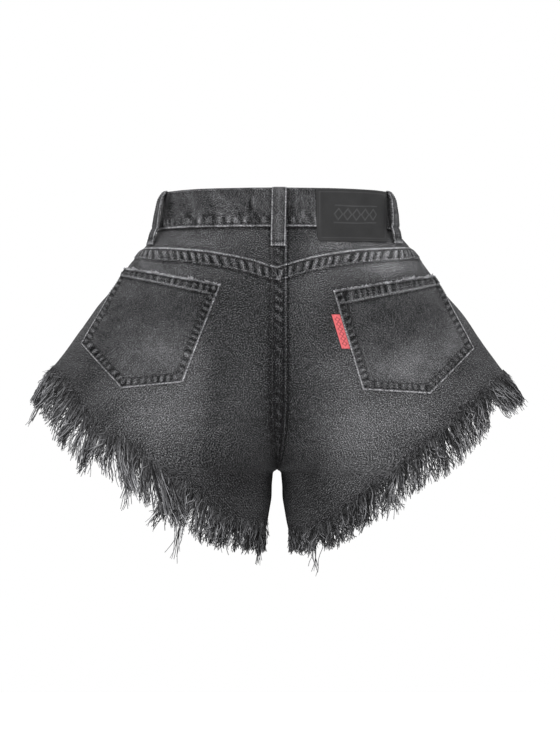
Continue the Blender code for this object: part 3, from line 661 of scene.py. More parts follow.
def tubes(name, groups, sides, finish):
    """Closed threads in one mesh.  A group has centrelines (threads by rings by 3), radii and shades."""
    points, faces, tints, start = [], [], [], 0
    turn = np.arange(sides) * 2 * np.pi / sides
    for lines, radii, shade in groups:
        count, rings = lines.shape[:2]
        tangent = unit(np.gradient(lines, axis=1))
        helper = np.where(np.abs(tangent[..., 2:3]) > 0.9, [1.0, 0, 0], [0, 0, 1.0])
        u = unit(np.cross(tangent, helper))
        v = np.cross(tangent, u)
        round_it = np.cos(turn)[:, None] * u[:, :, None] + np.sin(turn)[:, None] * v[:, :, None]
        ring = lines[:, :, None] + radii[:, :, None, None] * round_it
        index = start + np.arange(count * rings * sides).reshape(count, rings, sides)
        beside = np.roll(index, -1, axis=2)
        walls = np.stack([index[:, :-1], beside[:, :-1], beside[:, 1:], index[:, 1:]], axis=-1)
        faces += walls.reshape(-1, 4).tolist() + index[:, 0, ::-1].tolist() + index[:, -1].tolist()
        points.append(ring.reshape(-1, 3))
        tints.append(np.repeat(shade[:, :, None], sides, axis=2).ravel())
        start += count * rings * sides
    return add_mesh(name, np.concatenate(points), faces, [finish], shade=np.concatenate(tints), sharp=180)


# ---------------------------------------------------------------- materials
class Nodes:
    """Short ways to make the nodes of one material."""

    def __init__(self, name, roughness, specular, metallic=0.0):
        self.material = bpy.data.materials.new(name)
        self.material.use_nodes = True
        self.tree = self.material.node_tree
        self.shader = self.tree.nodes["Principled BSDF"]
        self.shader.inputs["Roughness"].default_value = roughness
        self.shader.inputs["Specular IOR Level"].default_value = specular
        self.shader.inputs["Metallic"].default_value = metallic

    def add(self, kind, **settings):
        node = self.tree.nodes.new(kind)
        for key, value in settings.items():
            setattr(node, key, value)
        return node

    def join(self, source, target):
        self.tree.links.new(source, target)

    def attribute(self, name, output="Fac"):
        return self.add("ShaderNodeAttribute", attribute_name=name).outputs[output]

    def maths(self, operation, *values):
        node = self.add("ShaderNodeMath", operation=operation)
        for socket, value in zip(node.inputs, values):
            if isinstance(value, (int, float)):
                socket.default_value = value
            else:
                self.join(value, socket)
        return node.outputs[0]

    def stretched(self, vector, scale):
        node = self.add("ShaderNodeVectorMath", operation="MULTIPLY")
        self.join(vector, node.inputs[0])
        node.inputs[1].default_value = scale
        return node.outputs[0]

    def noise(self, vector, scale, detail=2.0, roughness=0.6):
        """Noise about 0, a feature every 1 / scale."""
        node = self.add("ShaderNodeTexNoise")
        self.join(vector, node.inputs["Vector"])
        node.inputs["Scale"].default_value = scale
        node.inputs["Detail"].default_value = detail
        node.inputs["Roughness"].default_value = roughness
        return self.maths("SUBTRACT", node.outputs["Fac"], 0.5)

    def ramp(self, value, stops, target):
        node = self.add("ShaderNodeValToRGB")
        ramp = node.color_ramp
        while len(ramp.elements) < len(stops):
            ramp.elements.new(1.0)
        for element, (at, colour) in zip(ramp.elements, stops):
            element.position = at
            element.color = (*colour, 1.0)
        self.join(value, node.inputs["Fac"])
        self.join(node.outputs["Color"], target)

    def bump(self, height, strength, distance):
        node = self.add("ShaderNodeBump")
        node.inputs["Strength"].default_value = strength
        node.inputs["Distance"].default_value = distance
        self.join(height, node.inputs["Height"])
        self.join(node.outputs["Normal"], self.shader.inputs["Normal"])


LIGHT = 1.25  # how much brighter the lights make a facing cloth than its own colour
TINT = (1.0, 1.0, 1.04)  # the greys are a touch blue
BLACK_LEVEL, SHADE_LEVELS = 20, 200  # the display level of shade 0, and how many more shade 1 has


def grey(level):
    """The reflectance that the lights show as this display level, of 255."""
    s = level / 255
    linear = s / 12.92 if s < 0.04045 else ((s + 0.055) / 1.055) ** 2.4
    return tuple(linear * tint / LIGHT for tint in TINT)


SHADE_STOPS = [
    (shade, grey(BLACK_LEVEL + SHADE_LEVELS * shade)) for shade in (0.0, 0.125, 0.25, 0.375, 0.5, 0.75, 1.0)
]
WEAVE_ACROSS, WEAVE_DOWN = 2.6, 2.9  # millimetres from one light dot of the weave to the next


def denim_finish(name, base=0.0, grain=2.1, weave=0.07):
    """Washed denim: a twill of dark warp and pale weft, speckled where the dye has worn off."""
    n = Nodes(name, 0.95, 0.06)
    cloth = n.attribute("cloth", "Vector")
    speckle = n.noise(n.stretched(cloth, (1.0, 0.8, 1.0)), 1.25, 1.0)
    streak = n.noise(n.stretched(cloth, (1.0, 0.25, 1.0)), 0.7, 1.0)
    blotch = n.noise(cloth, 0.16, 2.0)
    turn = n.stretched(cloth, (2 * math.pi / WEAVE_ACROSS, 2 * math.pi / WEAVE_DOWN, 0.0))
    parts = n.add("ShaderNodeSeparateXYZ")
    n.join(turn, parts.inputs[0])
    twill = n.maths("MULTIPLY", n.maths("SINE", parts.outputs[0]), n.maths("SINE", parts.outputs[1]))
    clear = n.maths("MULTIPLY_ADD", n.noise(cloth, 0.05, 1.0), 4.0, 1.0)
    worn = n.maths("MULTIPLY", speckle, grain)
    worn = n.maths("MULTIPLY_ADD", streak, 0.30, worn)
    worn = n.maths("MULTIPLY_ADD", blotch, 0.12, worn)
    worn = n.maths("MULTIPLY_ADD", n.maths("MULTIPLY", twill, clear), weave, worn)
    shade = n.maths("ADD", n.maths("ADD", n.attribute("shade"), base), worn)
    n.ramp(shade, SHADE_STOPS, n.shader.inputs["Base Color"])
    n.bump(n.maths("MULTIPLY_ADD", twill, 0.3, speckle), 0.06, 0.0003)
    return n.material


def thread_finish(name, base=0.0, spread_of=0.5):
    """Cotton thread, with lighter and darker fibres."""
    n = Nodes(name, 0.9, 0.15)
    place = n.add("ShaderNodeTexCoord").outputs["Object"]
    fibre = n.noise(place, 900.0, 1.0)
    shade = n.maths("MULTIPLY_ADD", fibre, spread_of, n.maths("ADD", n.attribute("shade"), base))
    n.ramp(shade, SHADE_STOPS, n.shader.inputs["Base Color"])
    n.bump(fibre, 0.3, 0.0002)
    return n.material


def leather_finish(name):
    """Dull leather with a fine grain."""
    n = Nodes(name, 0.62, 0.3)
    place = n.add("ShaderNodeTexCoord").outputs["Object"]
    grain = n.noise(place, 1100.0, 3.0)
    cloudy = n.noise(place, 90.0, 2.0)
    shade = n.maths("MULTIPLY_ADD", grain, 0.10, n.attribute("shade"))
    shade = n.maths("MULTIPLY_ADD", cloudy, 0.05, shade)
    n.ramp(shade, SHADE_STOPS, n.shader.inputs["Base Color"])
    n.bump(grain, 0.35, 0.0004)
    return n.material


def ribbon_finish(name):
    """Red ribbon; its dark thread has a shade near 0."""
    n = Nodes(name, 0.75, 0.2)
    cloth = n.attribute("cloth", "Vector")
    weave = n.noise(n.stretched(cloth, (2.4, 1.2, 1.0)), 1.0, 1.0)
    value = n.maths("ADD", n.attribute("shade"), n.maths("MULTIPLY", weave, 0.35))
    stops = [(0.0, (0.15, 0.03, 0.035)), (0.5, (0.65, 0.13, 0.14)), (1.0, (0.80, 0.28, 0.29))]
    n.ramp(value, stops, n.shader.inputs["Base Color"])
    n.bump(weave, 0.3, 0.0003)
    return n.material


def metal_finish(name, colour, roughness):
    """Metal that is a little darker in places."""
    n = Nodes(name, roughness, 0.5, 1.0)
    place = n.add("ShaderNodeTexCoord").outputs["Object"]
    wear = n.noise(place, 700.0, 3.0)
    dark = tuple(c * 0.55 for c in colour)
    n.ramp(n.maths("ADD", wear, 0.5), [(0.3, dark), (0.7, colour)], n.shader.inputs["Base Color"])
    n.bump(wear, 0.1, 0.0002)
    return n.material


denim = denim_finish("washed_black_denim")
soft_denim = denim_finish("washed_black_denim_soft", grain=1.45, weave=0.05)
lining = denim_finish("denim_inside", base=0.10, grain=1.2, weave=0.03)
fray = thread_finish("frayed_thread")
sewing = thread_finish("sewing_thread", spread_of=0.25)
leather = leather_finish("patch_leather")
ribbon = ribbon_finish("tab_ribbon")
metal = metal_finish("button_metal", (0.42, 0.41, 0.40), 0.34)
tape = thread_finish("zip_tape", base=-0.18, spread_of=0.2)
tooth = metal_finish("zip_teeth", (0.35, 0.34, 0.32), 0.4)


def cloth_piece(node):
    """Hides the solid that a piece of cloth stands for."""
    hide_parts(node)


# ---------------------------------------------------------------- sewing
STITCH_PITCH, STITCH_LONG, STITCH_THICK, STITCH_TIP = 3.1, 2.3, 0.30, 0.12
STITCH_RISE, STITCH_DIP = 0.16, 0.15  # how high its middle lies and how deep its ends
STITCH_FLAT = 0.6  # the share of it that lies flat
LEVEL = np.array([1.0, 1.0, 0.0])  # what keeps a direction level
SEAMS = []  # centrelines and shades of every stitch


def resample(line, pitch):
    """Points every pitch along a polyline, with the direction of the line at each."""
    run = run_of(line)
    at = np.arange(pitch / 2, run[-1] - pitch / 2, pitch)
    point = read_at(line, run, at)
    return point, unit(read_at(line, run, at + 0.8) - point)


def on_cloth(tree, point, guess):
    """The nearest place on a piece's outer face, and the normal there."""
    place, normal, _index, _far = tree.find_nearest(Vector(point + guess * 1.5))
    normal = np.array(normal)
    return np.array(place), normal if normal @ guess > 0 else -normal


def add_stitch(place, normal, way, shade):
    """One stitch, that dips into the cloth at both ends, a little lighter or darker than the last."""
    half = way * STITCH_LONG / 2
    dip, rise = normal * STITCH_DIP, normal * STITCH_RISE
    ring = [place - half - dip, place - half * STITCH_FLAT + rise]
    ring += [place + half * STITCH_FLAT + rise, place + half - dip]
    uneven = 0.10 * math.sin(len(SEAMS) * 12.9898) + 0.05 * math.sin(len(SEAMS) * 78.233)
    SEAMS.append((np.array(ring), shade + uneven))


def sew(tree, line, inset, towards, shade=0.36, guard=None, pitch=STITCH_PITCH, outward=None):
    """A row of stitches on a piece, inset from one of its edges towards a point inside it."""
    for point, way in zip(*resample(line, pitch)):
        guess = unit(point * LEVEL) if outward is None else outward
        _place, normal = on_cloth(tree, point, guess)
        inward = unit(np.cross(normal, way))
        if inward @ (towards - point) < 0:
            inward = -inward
        place, normal = on_cloth(tree, point + inward * inset, normal)
        if guard is None or near_line(place[None], guard)[0][0] >= inset - 0.35:
            add_stitch(place, normal, way, shade)


def sew_level(tree, line, drop, shade):
    """A row of stitches this far under a level edge, or over it."""
    for point, way in zip(*resample(line, STITCH_PITCH)):
        place, normal = on_cloth(tree, point - np.array([0.0, 0.0, drop]), unit(point * LEVEL))
        add_stitch(place, normal, way, shade)


def finish_sewing(name):
    """One mesh of all the stitches since the last one."""
    lines = np.array([ring for ring, _shade in SEAMS])
    tint = np.repeat(np.array([shade for _ring, shade in SEAMS])[:, None], 4, axis=1)
    radii = np.tile([STITCH_TIP, STITCH_THICK, STITCH_THICK, STITCH_TIP], (len(lines), 1))
    made = tubes(name, [(lines, radii, tint)], 3, sewing)
    SEAMS.clear()
    return made


# ---------------------------------------------------------------- waistband
FLY_EDGE = 11.0  # how far past the middle the upper lap's edge lies
UNDER_END = 9.5  # how many degrees the lower lap runs on under it
DIP_FROM, DIP_TO = -156.0, -171.0  # where the lower lap turns in
EDGE_STEPS = (0.0, 0.5, 1.1, 1.8, 2.6)
FRONT_RADIUS = 116  # of the waistband at the fly


def row_shares(reach, step, top=EDGE_STEPS, foot=(0.0, 0.4, 0.9, 1.6)):
    """Shares of a height, close together at both ends."""
    middle = np.arange(top[-1] + step, reach - foot[-1] - step / 2, step)
    return np.concatenate([top, middle, reach - np.array(foot[::-1])]) / reach


# Marks on the back of the waistband: pale worn streaks, puckers and dents lighter where they rise and darker
# where they sink (partly wear, partly painted shade), and two painted shadows beside the side loops; across
# and height, half sizes, shade and rise.
WAIST_MARKS = [
    (25.7, -2.2, 1.4, 7.0, -0.270, -0.5),
    (35.3, -10.8, 3.0, 2.6, -0.150, -0.2),
    (20.0, -13.7, 2.2, 5.0, -0.165, -0.2),
    (30.0, -15.0, 3.0, 4.0, 0.090, 0.2),
    (44.0, -15.0, 2.5, 4.5, 0.105, 0.2),
    (50.0, -13.0, 1.6, 4.5, -0.135, -0.2),
    (55.0, -14.0, 3.0, 4.0, 0.120, 0.3),
    (61.0, -14.7, 1.3, 4.0, -0.195, -0.3),
    (65.9, -17.0, 2.6, 3.0, 0.105, 0.3),
    (65.9, -11.3, 4.5, 1.4, -0.195, -0.2),
    (69.9, -15.6, 1.5, 4.5, -0.195, -0.3),
    (74.5, -16.6, 1.3, 4.8, 0.330, 0.4),
    (79.3, -11.8, 3.2, 1.8, 0.165, 0.2),
    (77.6, -17.8, 1.2, 4.0, -0.195, -0.3),
    (85.5, -17.5, 4.0, 3.2, 0.105, 0.3),
    (86.0, -12.3, 5.5, 1.4, -0.165, -0.2),
    (92.0, -17.0, 1.4, 4.0, -0.150, -0.2),
    # Painted shadows on the band beside the two side loops.
    (104.0, 1.0, 3.5, 8.0, -0.240, 0.0),
    (-103.5, 1.0, 3.5, 8.0, -0.240, 0.0),
    (-19.0, 0.0, 1.6, 9.0, 0.150, 0.2),
    (-25.0, -11.0, 2.0, 6.0, 0.210, 0.2),
    (-16.0, -15.0, 1.4, 5.0, 0.150, 0.1),
]


def make_waistband():
    edge = math.degrees(FLY_EDGE / FRONT_RADIUS)
    right, left = np.linspace(-180 - UNDER_END, -1e-9, 2 * FINE), np.linspace(1e-9, 180 + edge, 2 * FINE)
    around = np.concatenate([right, left])
    top, foot = WAIST_TOP("height", np.abs(around)), WAIST_SEAM + GAP / 2
    heights = [top + share * (foot - top) for share in row_shares(reach=38.0, step=1.05)]
    ends = (0.0, 0.6, 1.4, 4.0)
    p = Patch(*sheet_grid([around] * len(heights), heights, ends, ends, between=570))
    dip = ease((p.around - DIP_FROM) / (DIP_TO - DIP_FROM))
    seat = -dip * (CLOTH + BAND_OUT + GAP)
    p.lift += seat + BAND_OUT
    p.fade()
    x, z, behind = p.point[..., 0], p.point[..., 2], p.normal[..., 1] > 0
    down, up, along = p.down, p.down[-1:] - p.down, p.across
    broad, fine = mottle(along, down * 0.7, step=9, seed=11), mottle(along, down, step=4, seed=12)
    p.shade += 0.03 + 0.075 * broad + 0.05 * fine
    wave, bumps = wander(along, step=26, seed=13), mottle(along, down, step=12, seed=14)
    p.lift += 0.35 * wave * ease(up / 12) + 0.18 * bumps
    p.line(down, at=0.9, half=0.9, light=0.12)
    # The groove at the top stitch row is painted darker, as shade in it.
    p.line(down, at=3.2, half=0.7, depth=-0.18, light=-0.03)
    pressed = np.where((x > 56) & (x < 94) & behind, 0.15, 1.0)  # the marks below take the puckers' place
    p.puckers(up, along, near=2.2, out=10.0, period=8.6, depth=0.6, light=0.15 * pressed, slant=0.6, seed=15)
    p.puckers(up, along, near=2.0, out=7.0, period=4.6, depth=0.2, light=0.08 * pressed, slant=0.5, seed=17)
    # The groove at the lower stitch row is painted darker, as shade in it.
    p.line(up, at=2.4, half=0.8, depth=-0.3, light=-0.14)
    p.beads(up, along, at=0.7, half=0.9, light=0.50, pitch=STITCH_PITCH, seed=16)
    p.turn_edge(down, radius=1.6, drop=0.8)
    p.turn_edge(up, radius=0.9, drop=0.45)
    for across, height, wide, tall, light, rise in WAIST_MARKS:
        p.swell(bell(x, across, wide) * bell(z, height, tall) * behind, rise, light)
    made = shell("denim_waistband", p, soft_denim, lining, back=seat - CLOTH)
    sew_level(TREES[made.name], thin(p.edge("top")), 3.2, 0.25)
    sew_level(TREES[made.name], thin(p.edge("foot")), -2.1, 0.25)
    sewn = finish_sewing("stitches_waistband")
    cloth_piece("waistband")


# ---------------------------------------------------------------- back panels and yokes
def make_yoke(word, side):
    around = ordered(side * np.linspace(1e-9, 90, FINE), side)
    top = np.full(FINE, WAIST_SEAM - GAP / 2)
    bottom = YOKE_SEAM("height", np.abs(around)) + GAP / 2
    heights = [top + share * (bottom - top) for share in row_shares(reach=30.0, step=1.0)]
    edge = (0.02, 0.5, 1.1, 1.8, 2.7, 3.8, 5.0, 6.2, 7.6, 9.0, 10.4, 12.0)
    p = Patch(*sheet_grid([around] * len(heights), heights, edge, edge, between=150))
    p.fade()
    centre, outer = p.both_ways(side > 0)
    up, along = p.down[-1:] - p.down, p.across
    p.shade += 0.03 * mottle(along, p.down, step=9, seed=31 + side)
    # A painted shadow along the top, under the waistband's edge.
    p.line(p.down, at=0.8, half=2.0, light=-0.20)
    p.beads(up, along, at=0.8, half=0.95, light=0.50, pitch=STITCH_PITCH, seed=32 + side)
    p.line(up, at=0.8, half=1.0, depth=0.3)
    # This groove and the side seam's groove below are painted darker, as shade in them.
    p.line(up, at=3.0, half=1.2, depth=-0.25, light=-0.09)
    dress_centre(p, centre, side)
    p.line(outer, at=0.4, half=1.0, depth=-0.2, light=-0.06)
    made = shell(f"denim_yoke_{word}", p, denim, lining)
    cloth_piece(f"yoke_{word}")
    return p, made


SEAM_TOP = -20  # the height that the centre seam is measured from


def dress_centre(p, centre, side):
    """The felled centre back seam: a raised band with slanting puckers and a worn edge, and painted shade:
    dark lines beside its lapped edge and in its grooves, and darker lower down where the seam sinks between
    the seat's halves.
    """
    fell = CENTRE_FELL[side]
    drop = SEAM_TOP - p.point[..., 2]
    p.fell(centre, fell - 0.3, FELL_RISE)
    deep = ease((drop - 20) / 120)
    joined = ease((-CROTCH + SEAM_TOP + 2 - drop) / 16)  # the puckers end where the legs part
    if side < 0:
        p.beads(
            centre,
            drop,
            at=fell - 1.2,
            half=0.9,
            light=(0.36 - 0.20 * deep) * joined,
            pitch=STITCH_PITCH,
            seed=43,
        )
        # A painted shadow beside the lapped edge, and a groove painted darker.
        p.line(centre, at=fell + 0.9, half=1.1, depth=-0.25 * joined, light=-0.20 * joined)
        p.line(centre, at=fell - 3.6, half=0.9, depth=-0.15 * joined, light=-0.12 * joined)
    else:
        p.line(centre, at=fell - 0.9, half=0.9, depth=0.1 * joined, light=0.12 * (1 - deep))
        # Grooves beside the edge are painted darker, as shade in them.
        p.line(centre, at=fell + 1.0, half=1.4, depth=-0.25 * joined, light=-0.10 * joined)
        p.line(centre, at=3.0, half=1.3, depth=-0.1 * joined, light=-0.06 * joined)
    across_seam = np.where(side < 0, -centre, centre) + 10
    light = (0.25 - 0.08 * deep) * joined
    p.puckers(
        across_seam,
        drop + 300,
        near=4.4,
        out=11.6,
        period=9.6,
        depth=0.6 * joined,
        light=light,
        slant=0.68,
        seed=41,
    )
    # Painted shade: the band and the cleft round the seam grow darker lower down, as the seam sinks between
    # the seat's halves.
    window = ease((fell + 1 - centre) / 2)
    p.shade -= (0.03 + 0.13 * deep) * window
    p.shade -= 0.10 * deep * bell(centre, 0, 12 + 10 * deep) * (1 - window)


BACK_TOP_ROWS = (0.0, 0.5, 1.1, 1.8, 2.8, 3.9, 5.0, 6.1, 7.2, 8.3, 9.4, 10.5, 11.2, 11.8, 12.4, 13.0, 14.0)
BACK_CENTRE_COLUMNS = (0.02, 0.6, 1.4, 2.4, 3.5, 4.6, 5.6, 6.2, 7.0, 8.0, 9.0, 9.8, 10.4, 11.2, 12.2)
BACK_SIDE_COLUMNS = (0.05, 0.6, 1.3, 2.2, 3.4)


def make_back(word, side):
    around = ordered(side * np.linspace(1e-9, 90, FINE), side)
    top = YOKE_SEAM("height", np.abs(around)) - GAP / 2
    bottom = hem_height(around)
    heights = [top - drop for drop in BACK_TOP_ROWS]
    start = heights[-1]
    heights += [start + share * (bottom - start) for share in np.linspace(0, 1, 158)[1:]]
    ends = ordered((BACK_CENTRE_COLUMNS, BACK_SIDE_COLUMNS), side)
    p = Patch(*sheet_grid([around] * len(heights), heights, *ends, between=172))
    p.fade()
    centre, outer = p.both_ways(side > 0)
    seam, along = near_line(p.point, thin(p.edge("top")))
    hem, hem_run = near_line(p.point, thin(p.edge("foot")))
    p.fell(seam, YOKE_FELL, FELL_RISE)
    p.turn_edge(seam, radius=0.8, drop=0.4)
    worn = ease((p.point[..., 0] * side - 95) / 50)  # more so near the side seam
    p.puckers(
        seam, along, near=1.6, out=11.2, period=8.2, depth=0.8, light=0.27, slant=0.55 * side, seed=51 + side
    )
    # Grooves by the yoke seam are painted darker, as shade in them.
    p.line(seam, at=1.2, half=0.9, depth=-0.3, light=-0.18)
    p.beads(seam, along, at=11.0, half=0.8, light=0.18 + 0.12 * worn, pitch=STITCH_PITCH, seed=53 + side)
    p.line(seam, at=9.6, half=0.7, depth=-0.15, light=-0.12)
    # A painted shadow under the fell's edge.
    p.line(seam, at=13.0, half=1.2, depth=-0.2, light=-0.16)
    dress_centre(p, centre, side)
    # The side seam's groove is painted darker, as shade in it.
    p.line(outer, at=0.4, half=1.1, depth=-0.2, light=-0.05)
    p.puckers(outer, p.down, near=0.5, out=7.0, period=9.0, depth=0.4, light=0.06, slant=0.3, seed=55 + side)
    p.darken_hem(hem, hem_run, 57)
    p.shade += 0.06 * ease((5 - hem) / 4) * (0.3 + mottle(hem_run, hem * 0.3, step=1.4, seed=58))
    p.lift += 0.5 * wander(hem_run, step=9, seed=59 + side) * ease((16 - hem) / 16) * ease((centre - 3) / 8)
    made = shell(f"denim_back_{word}", p, denim, lining)
    return p, made


def sew_back(word, side, yoke, yoke_made, back, back_made):
    """The stitch rows of one side of the back."""
    inside = back.point[60, 90]
    tree = TREES[back_made.name]
    for inset, shade in ((1.6, 0.30), (10.0, 0.33)):
        sew(tree, thin(back.edge("top")), inset, inside, shade)
    edge = "first" if side > 0 else "last"
    far_row = CENTRE_FELL[side] - 1.9
    for inset in (far_row,) if side > 0 else (2.2, far_row):
        sew(tree, thin(back.edge(edge)[:-30]), inset, inside, 0.24)
        sew(TREES[yoke_made.name], thin(yoke.edge(edge), 2), inset, yoke.point[15, 80], 0.28)
    sewn = finish_sewing(f"stitches_back_{word}")
    cloth_piece(f"back_{word}")


# ---------------------------------------------------------------- front
SCOOP_START, SCOOP_SIDE = 126.0, -96.0  # where the pocket mouth starts on the waist, and its foot on the side
FACING_TUCK, FACING_GAP = 14.0, 0.8  # how far the facing runs on under the panel, and its clearance
FACING_UNDER, FACING_EDGE = 1.2, 0.3  # how far it reaches under the side seam, in degrees, and its gap there
FLY_FOOT, FLY_EASE = -122.0, 13.0  # the foot of the lap, and how far over it the lap's edge turns in
FLY_SETTLE = (-195.0, -155.0)  # the heights between which the lapped panel comes out
FRONT_CENTRE_COLUMNS = (0.05, 0.7, 1.6, 3.0, 4.6, 6.4, 8.4, 10.4, 12.0)
FRONT_SIDE_COLUMNS = (0.05, 0.7, 1.5, 2.6)


def scoop_height(turn):
    share = np.clip((SCOOP_START - turn) / (SCOOP_START - 90), 0, 1)
    return WAIST_SEAM + (SCOOP_SIDE - WAIST_SEAM) * np.sqrt(1 - (1 - share) ** 2)


def lap(height):
    return ease((height - FLY_FOOT) / FLY_EASE + 1)


def fly_lift(x, height):
    near = ease((FLY_EDGE + 3 - x) / (FLY_EDGE + 2))
    level, raised = FLY_SETTLE
    return (CLOTH + GAP) * near * ease((height - level) / (raised - level))


def front_grid(side):
    """Turns and heights of a front panel, from its scooped mouth and waist down to its hem."""
    scooped = SCOOP_START - (SCOOP_START - 90) * (1 - np.cos(np.linspace(0, math.pi / 2, 60)))
    turn = np.concatenate([scooped[::-1], np.linspace(SCOOP_START, 180, FINE)[1:]])
    top = scoop_height(turn) - GAP / 2
    bottom = hem_height(side * turn)
    reach = WAIST_SEAM - GAP / 2 - float(hem_height(side * 180.0))
    arounds, heights = [], []
    for share in np.concatenate([[0.0, 0.6, 1.3, 2.2, 3.3], np.linspace(4.8, reach, 128)]) / reach:
        height = top + share * (bottom - top)
        beyond = 0.0
        if side > 0:
            wide = float(LEVELS("half_width", height[-1]))
            beyond = math.degrees(FLY_EDGE * float(lap(height[-1])) / wide)
        arounds.append(ordered(side * np.append(turn, 180 + beyond + 1e-6), side))
        heights.append(ordered(np.append(height, height[-1]), side))
    ends = ordered((FRONT_SIDE_COLUMNS, FRONT_CENTRE_COLUMNS), side)
    return sheet_grid(arounds, heights, *ends, between=118)


def make_front(word, side):
    p = Patch(*front_grid(side))
    lift = fly_lift(p.point[..., 0], p.height) if side > 0 else 0.0
    p.lift += lift
    p.fade()
    centre, outer = p.both_ways(side < 0)
    mouth, along = near_line(p.point, thin(p.edge("top")))
    hem, hem_run = near_line(p.point, thin(p.edge("foot")))
    p.turn_edge(mouth, radius=1.2, drop=0.6)
    plain = p.shade.copy()
    p.beads(mouth, along, at=0.7, half=0.9, light=0.42, pitch=STITCH_PITCH, seed=70)
    # Grooves at the stitch rows are painted darker, as shade in them.
    p.line(mouth, at=2.0, half=0.7, depth=-0.2, light=-0.12)
    p.line(mouth, at=8.4, half=0.8, depth=-0.2, light=-0.12)
    p.puckers(mouth, along, near=2.4, out=8.0, period=8.4, depth=0.5, light=0.13, slant=0.5, seed=71 + side)
    scoop = ease((SCOOP_START + 3 - np.abs(p.around)) / 4)
    p.shade = plain + (p.shade - plain) * (0.3 + 0.7 * scoop)  # worn most along the pocket mouth
    p.line(outer, at=0.4, half=1.1, depth=-0.2, light=-0.05)
    if side > 0:
        p.beads(centre, p.down, at=0.8, half=0.9, light=0.34, pitch=STITCH_PITCH, seed=76)
        # Grooves by the fly are painted darker, as shade in them.
        p.line(centre, at=2.2, half=0.8, depth=-0.2, light=-0.10)
        p.puckers(centre, p.down, near=2.0, out=9.0, period=9.0, depth=0.5, light=0.10, slant=0.5, seed=73)
        fly, fly_run = near_line(p.point, fly_line())
        p.line(fly, at=2.2, half=3.0, depth=-0.25, light=-0.07)
        p.puckers(fly, fly_run, near=0.0, out=5.5, period=8.6, depth=0.4, light=0.10, slant=0.5, seed=77)
    else:
        # A painted shadow along the centre seam, under the lap.
        p.line(centre, at=0.8, half=1.6, depth=-0.2, light=-0.12)
    p.darken_hem(hem, hem_run, 74)
    made = shell(f"denim_front_{word}", p, denim, lining, back=lift - CLOTH)
    tree, inside = TREES[made.name], p.point[50, 60]
    mouth_line = p.edge("top")[np.abs(p.around[0]) < SCOOP_START]
    for inset in (2.0, 8.2):
        sew(tree, thin(mouth_line, 2), inset, inside, 0.44)
    if side > 0:
        sew_fly(tree)
    sewn = finish_sewing(f"stitches_front_{word}")
    cloth_piece(f"front_{word}")


# The stitching of the fly, seen from in front: across and height.
FLY_STITCH = [(34, -24), (34, -60), (33, -85), (29, -102), (21, -115), (10, -122), (1, -125)]


def fly_line():
    """The fly's stitch line on the form."""
    x, z = filled(FLY_STITCH, 60)
    turn = 180 - np.degrees(np.arcsin(x / np.interp(z, LEVELS.keys, LEVELS.columns["half_width"])))
    return form(turn, z)


def sew_fly(tree):
    """Two rows down the fly that curve in to its foot."""
    line = fly_line()
    aim = np.array([0.0, line[:, 1].min(), -50.0])
    for inset in (0.0, 4.5):
        sew(tree, line, inset, aim, 0.46, outward=np.array([0.0, -1.0, 0.0]))


def make_facing(word, side):
    turn = np.linspace(90 - FACING_UNDER, SCOOP_START + 7, FINE)
    around = ordered(side * turn, side)
    top = np.full(FINE, WAIST_SEAM - GAP / 2)
    bottom = ordered(scoop_height(turn), side) - FACING_TUCK
    heights = [top + share * (bottom - top) for share in np.linspace(0, 1, 34)]
    ends = (0.1, 2.0)
    p = Patch(*sheet_grid([around] * len(heights), heights, ends, ends, between=40))
    seam = ease((np.abs(p.around) - 90) / 3.0)
    p.lift -= CLOTH + FACING_EDGE + (FACING_GAP - FACING_EDGE) * seam
    seat = p.lift - CLOTH
    p.fade()
    p.shade -= 0.03  # it lies in the mouth's shadow
    made = shell(f"denim_facing_{word}", p, denim, lining, back=seat)
    cloth_piece(f"pocket_facing_{word}")


ZIP_TAPE, ZIP_THICK, ZIP_ASIDE = 24.0, 0.8, 3.0  # its width, thickness and distance from the middle
TEETH = 46  # pairs of them
TOOTH_ASIDE, TOOTH_REACH = 0.9, 1.6  # a tooth's distance from the chain's middle, and its length
ZIP_UNDER = CLOTH + GAP


def make_zip():
    heights = np.linspace(WAIST_SEAM - 2, FLY_FOOT + 4, 50)
    across = np.linspace(-ZIP_TAPE / 2, ZIP_TAPE / 2, 19)
    middle = 180 - ZIP_ASIDE * degrees_per_mm(np.full(heights.shape, 180.0), heights)
    p = Patch(*strip_grid(middle, heights, across), lift=-ZIP_UNDER)
    p.shade[:] = 0.22
    made = shell("zip_tape", p, tape, tape, back=-(ZIP_UNDER + ZIP_THICK))
    places = np.linspace(WAIST_SEAM - 5, FLY_FOOT + 7, 2 * TEETH)
    chain = 180 - ZIP_ASIDE * degrees_per_mm(np.full(places.shape, 180.0), places)
    aside = np.where(np.arange(2 * TEETH) % 2, TOOTH_ASIDE, -TOOTH_ASIDE)
    point, normal = surface(chain + aside * degrees_per_mm(chain, places), places)
    middle_point = point - normal * (ZIP_UNDER + ZIP_THICK + 0.25)
    reach = np.array([TOOTH_REACH, 0.0, 0.0]) * np.sign(aside)[:, None]
    lines = np.stack([middle_point + reach * share for share in (-0.9, -0.3, 0.5)], axis=1)
    radii = np.tile([0.35, 0.6, 0.42], (len(lines), 1))
    teeth = tubes("zip_teeth", [(lines, radii, np.full(radii.shape, 0.5))], 6, tooth)
    cloth_piece("zip")


# ---------------------------------------------------------------- belt loops
LOOP_WIDTH = 14.0
LOOP_END_ROWS = (0.0, 0.4, 0.9, 1.5)
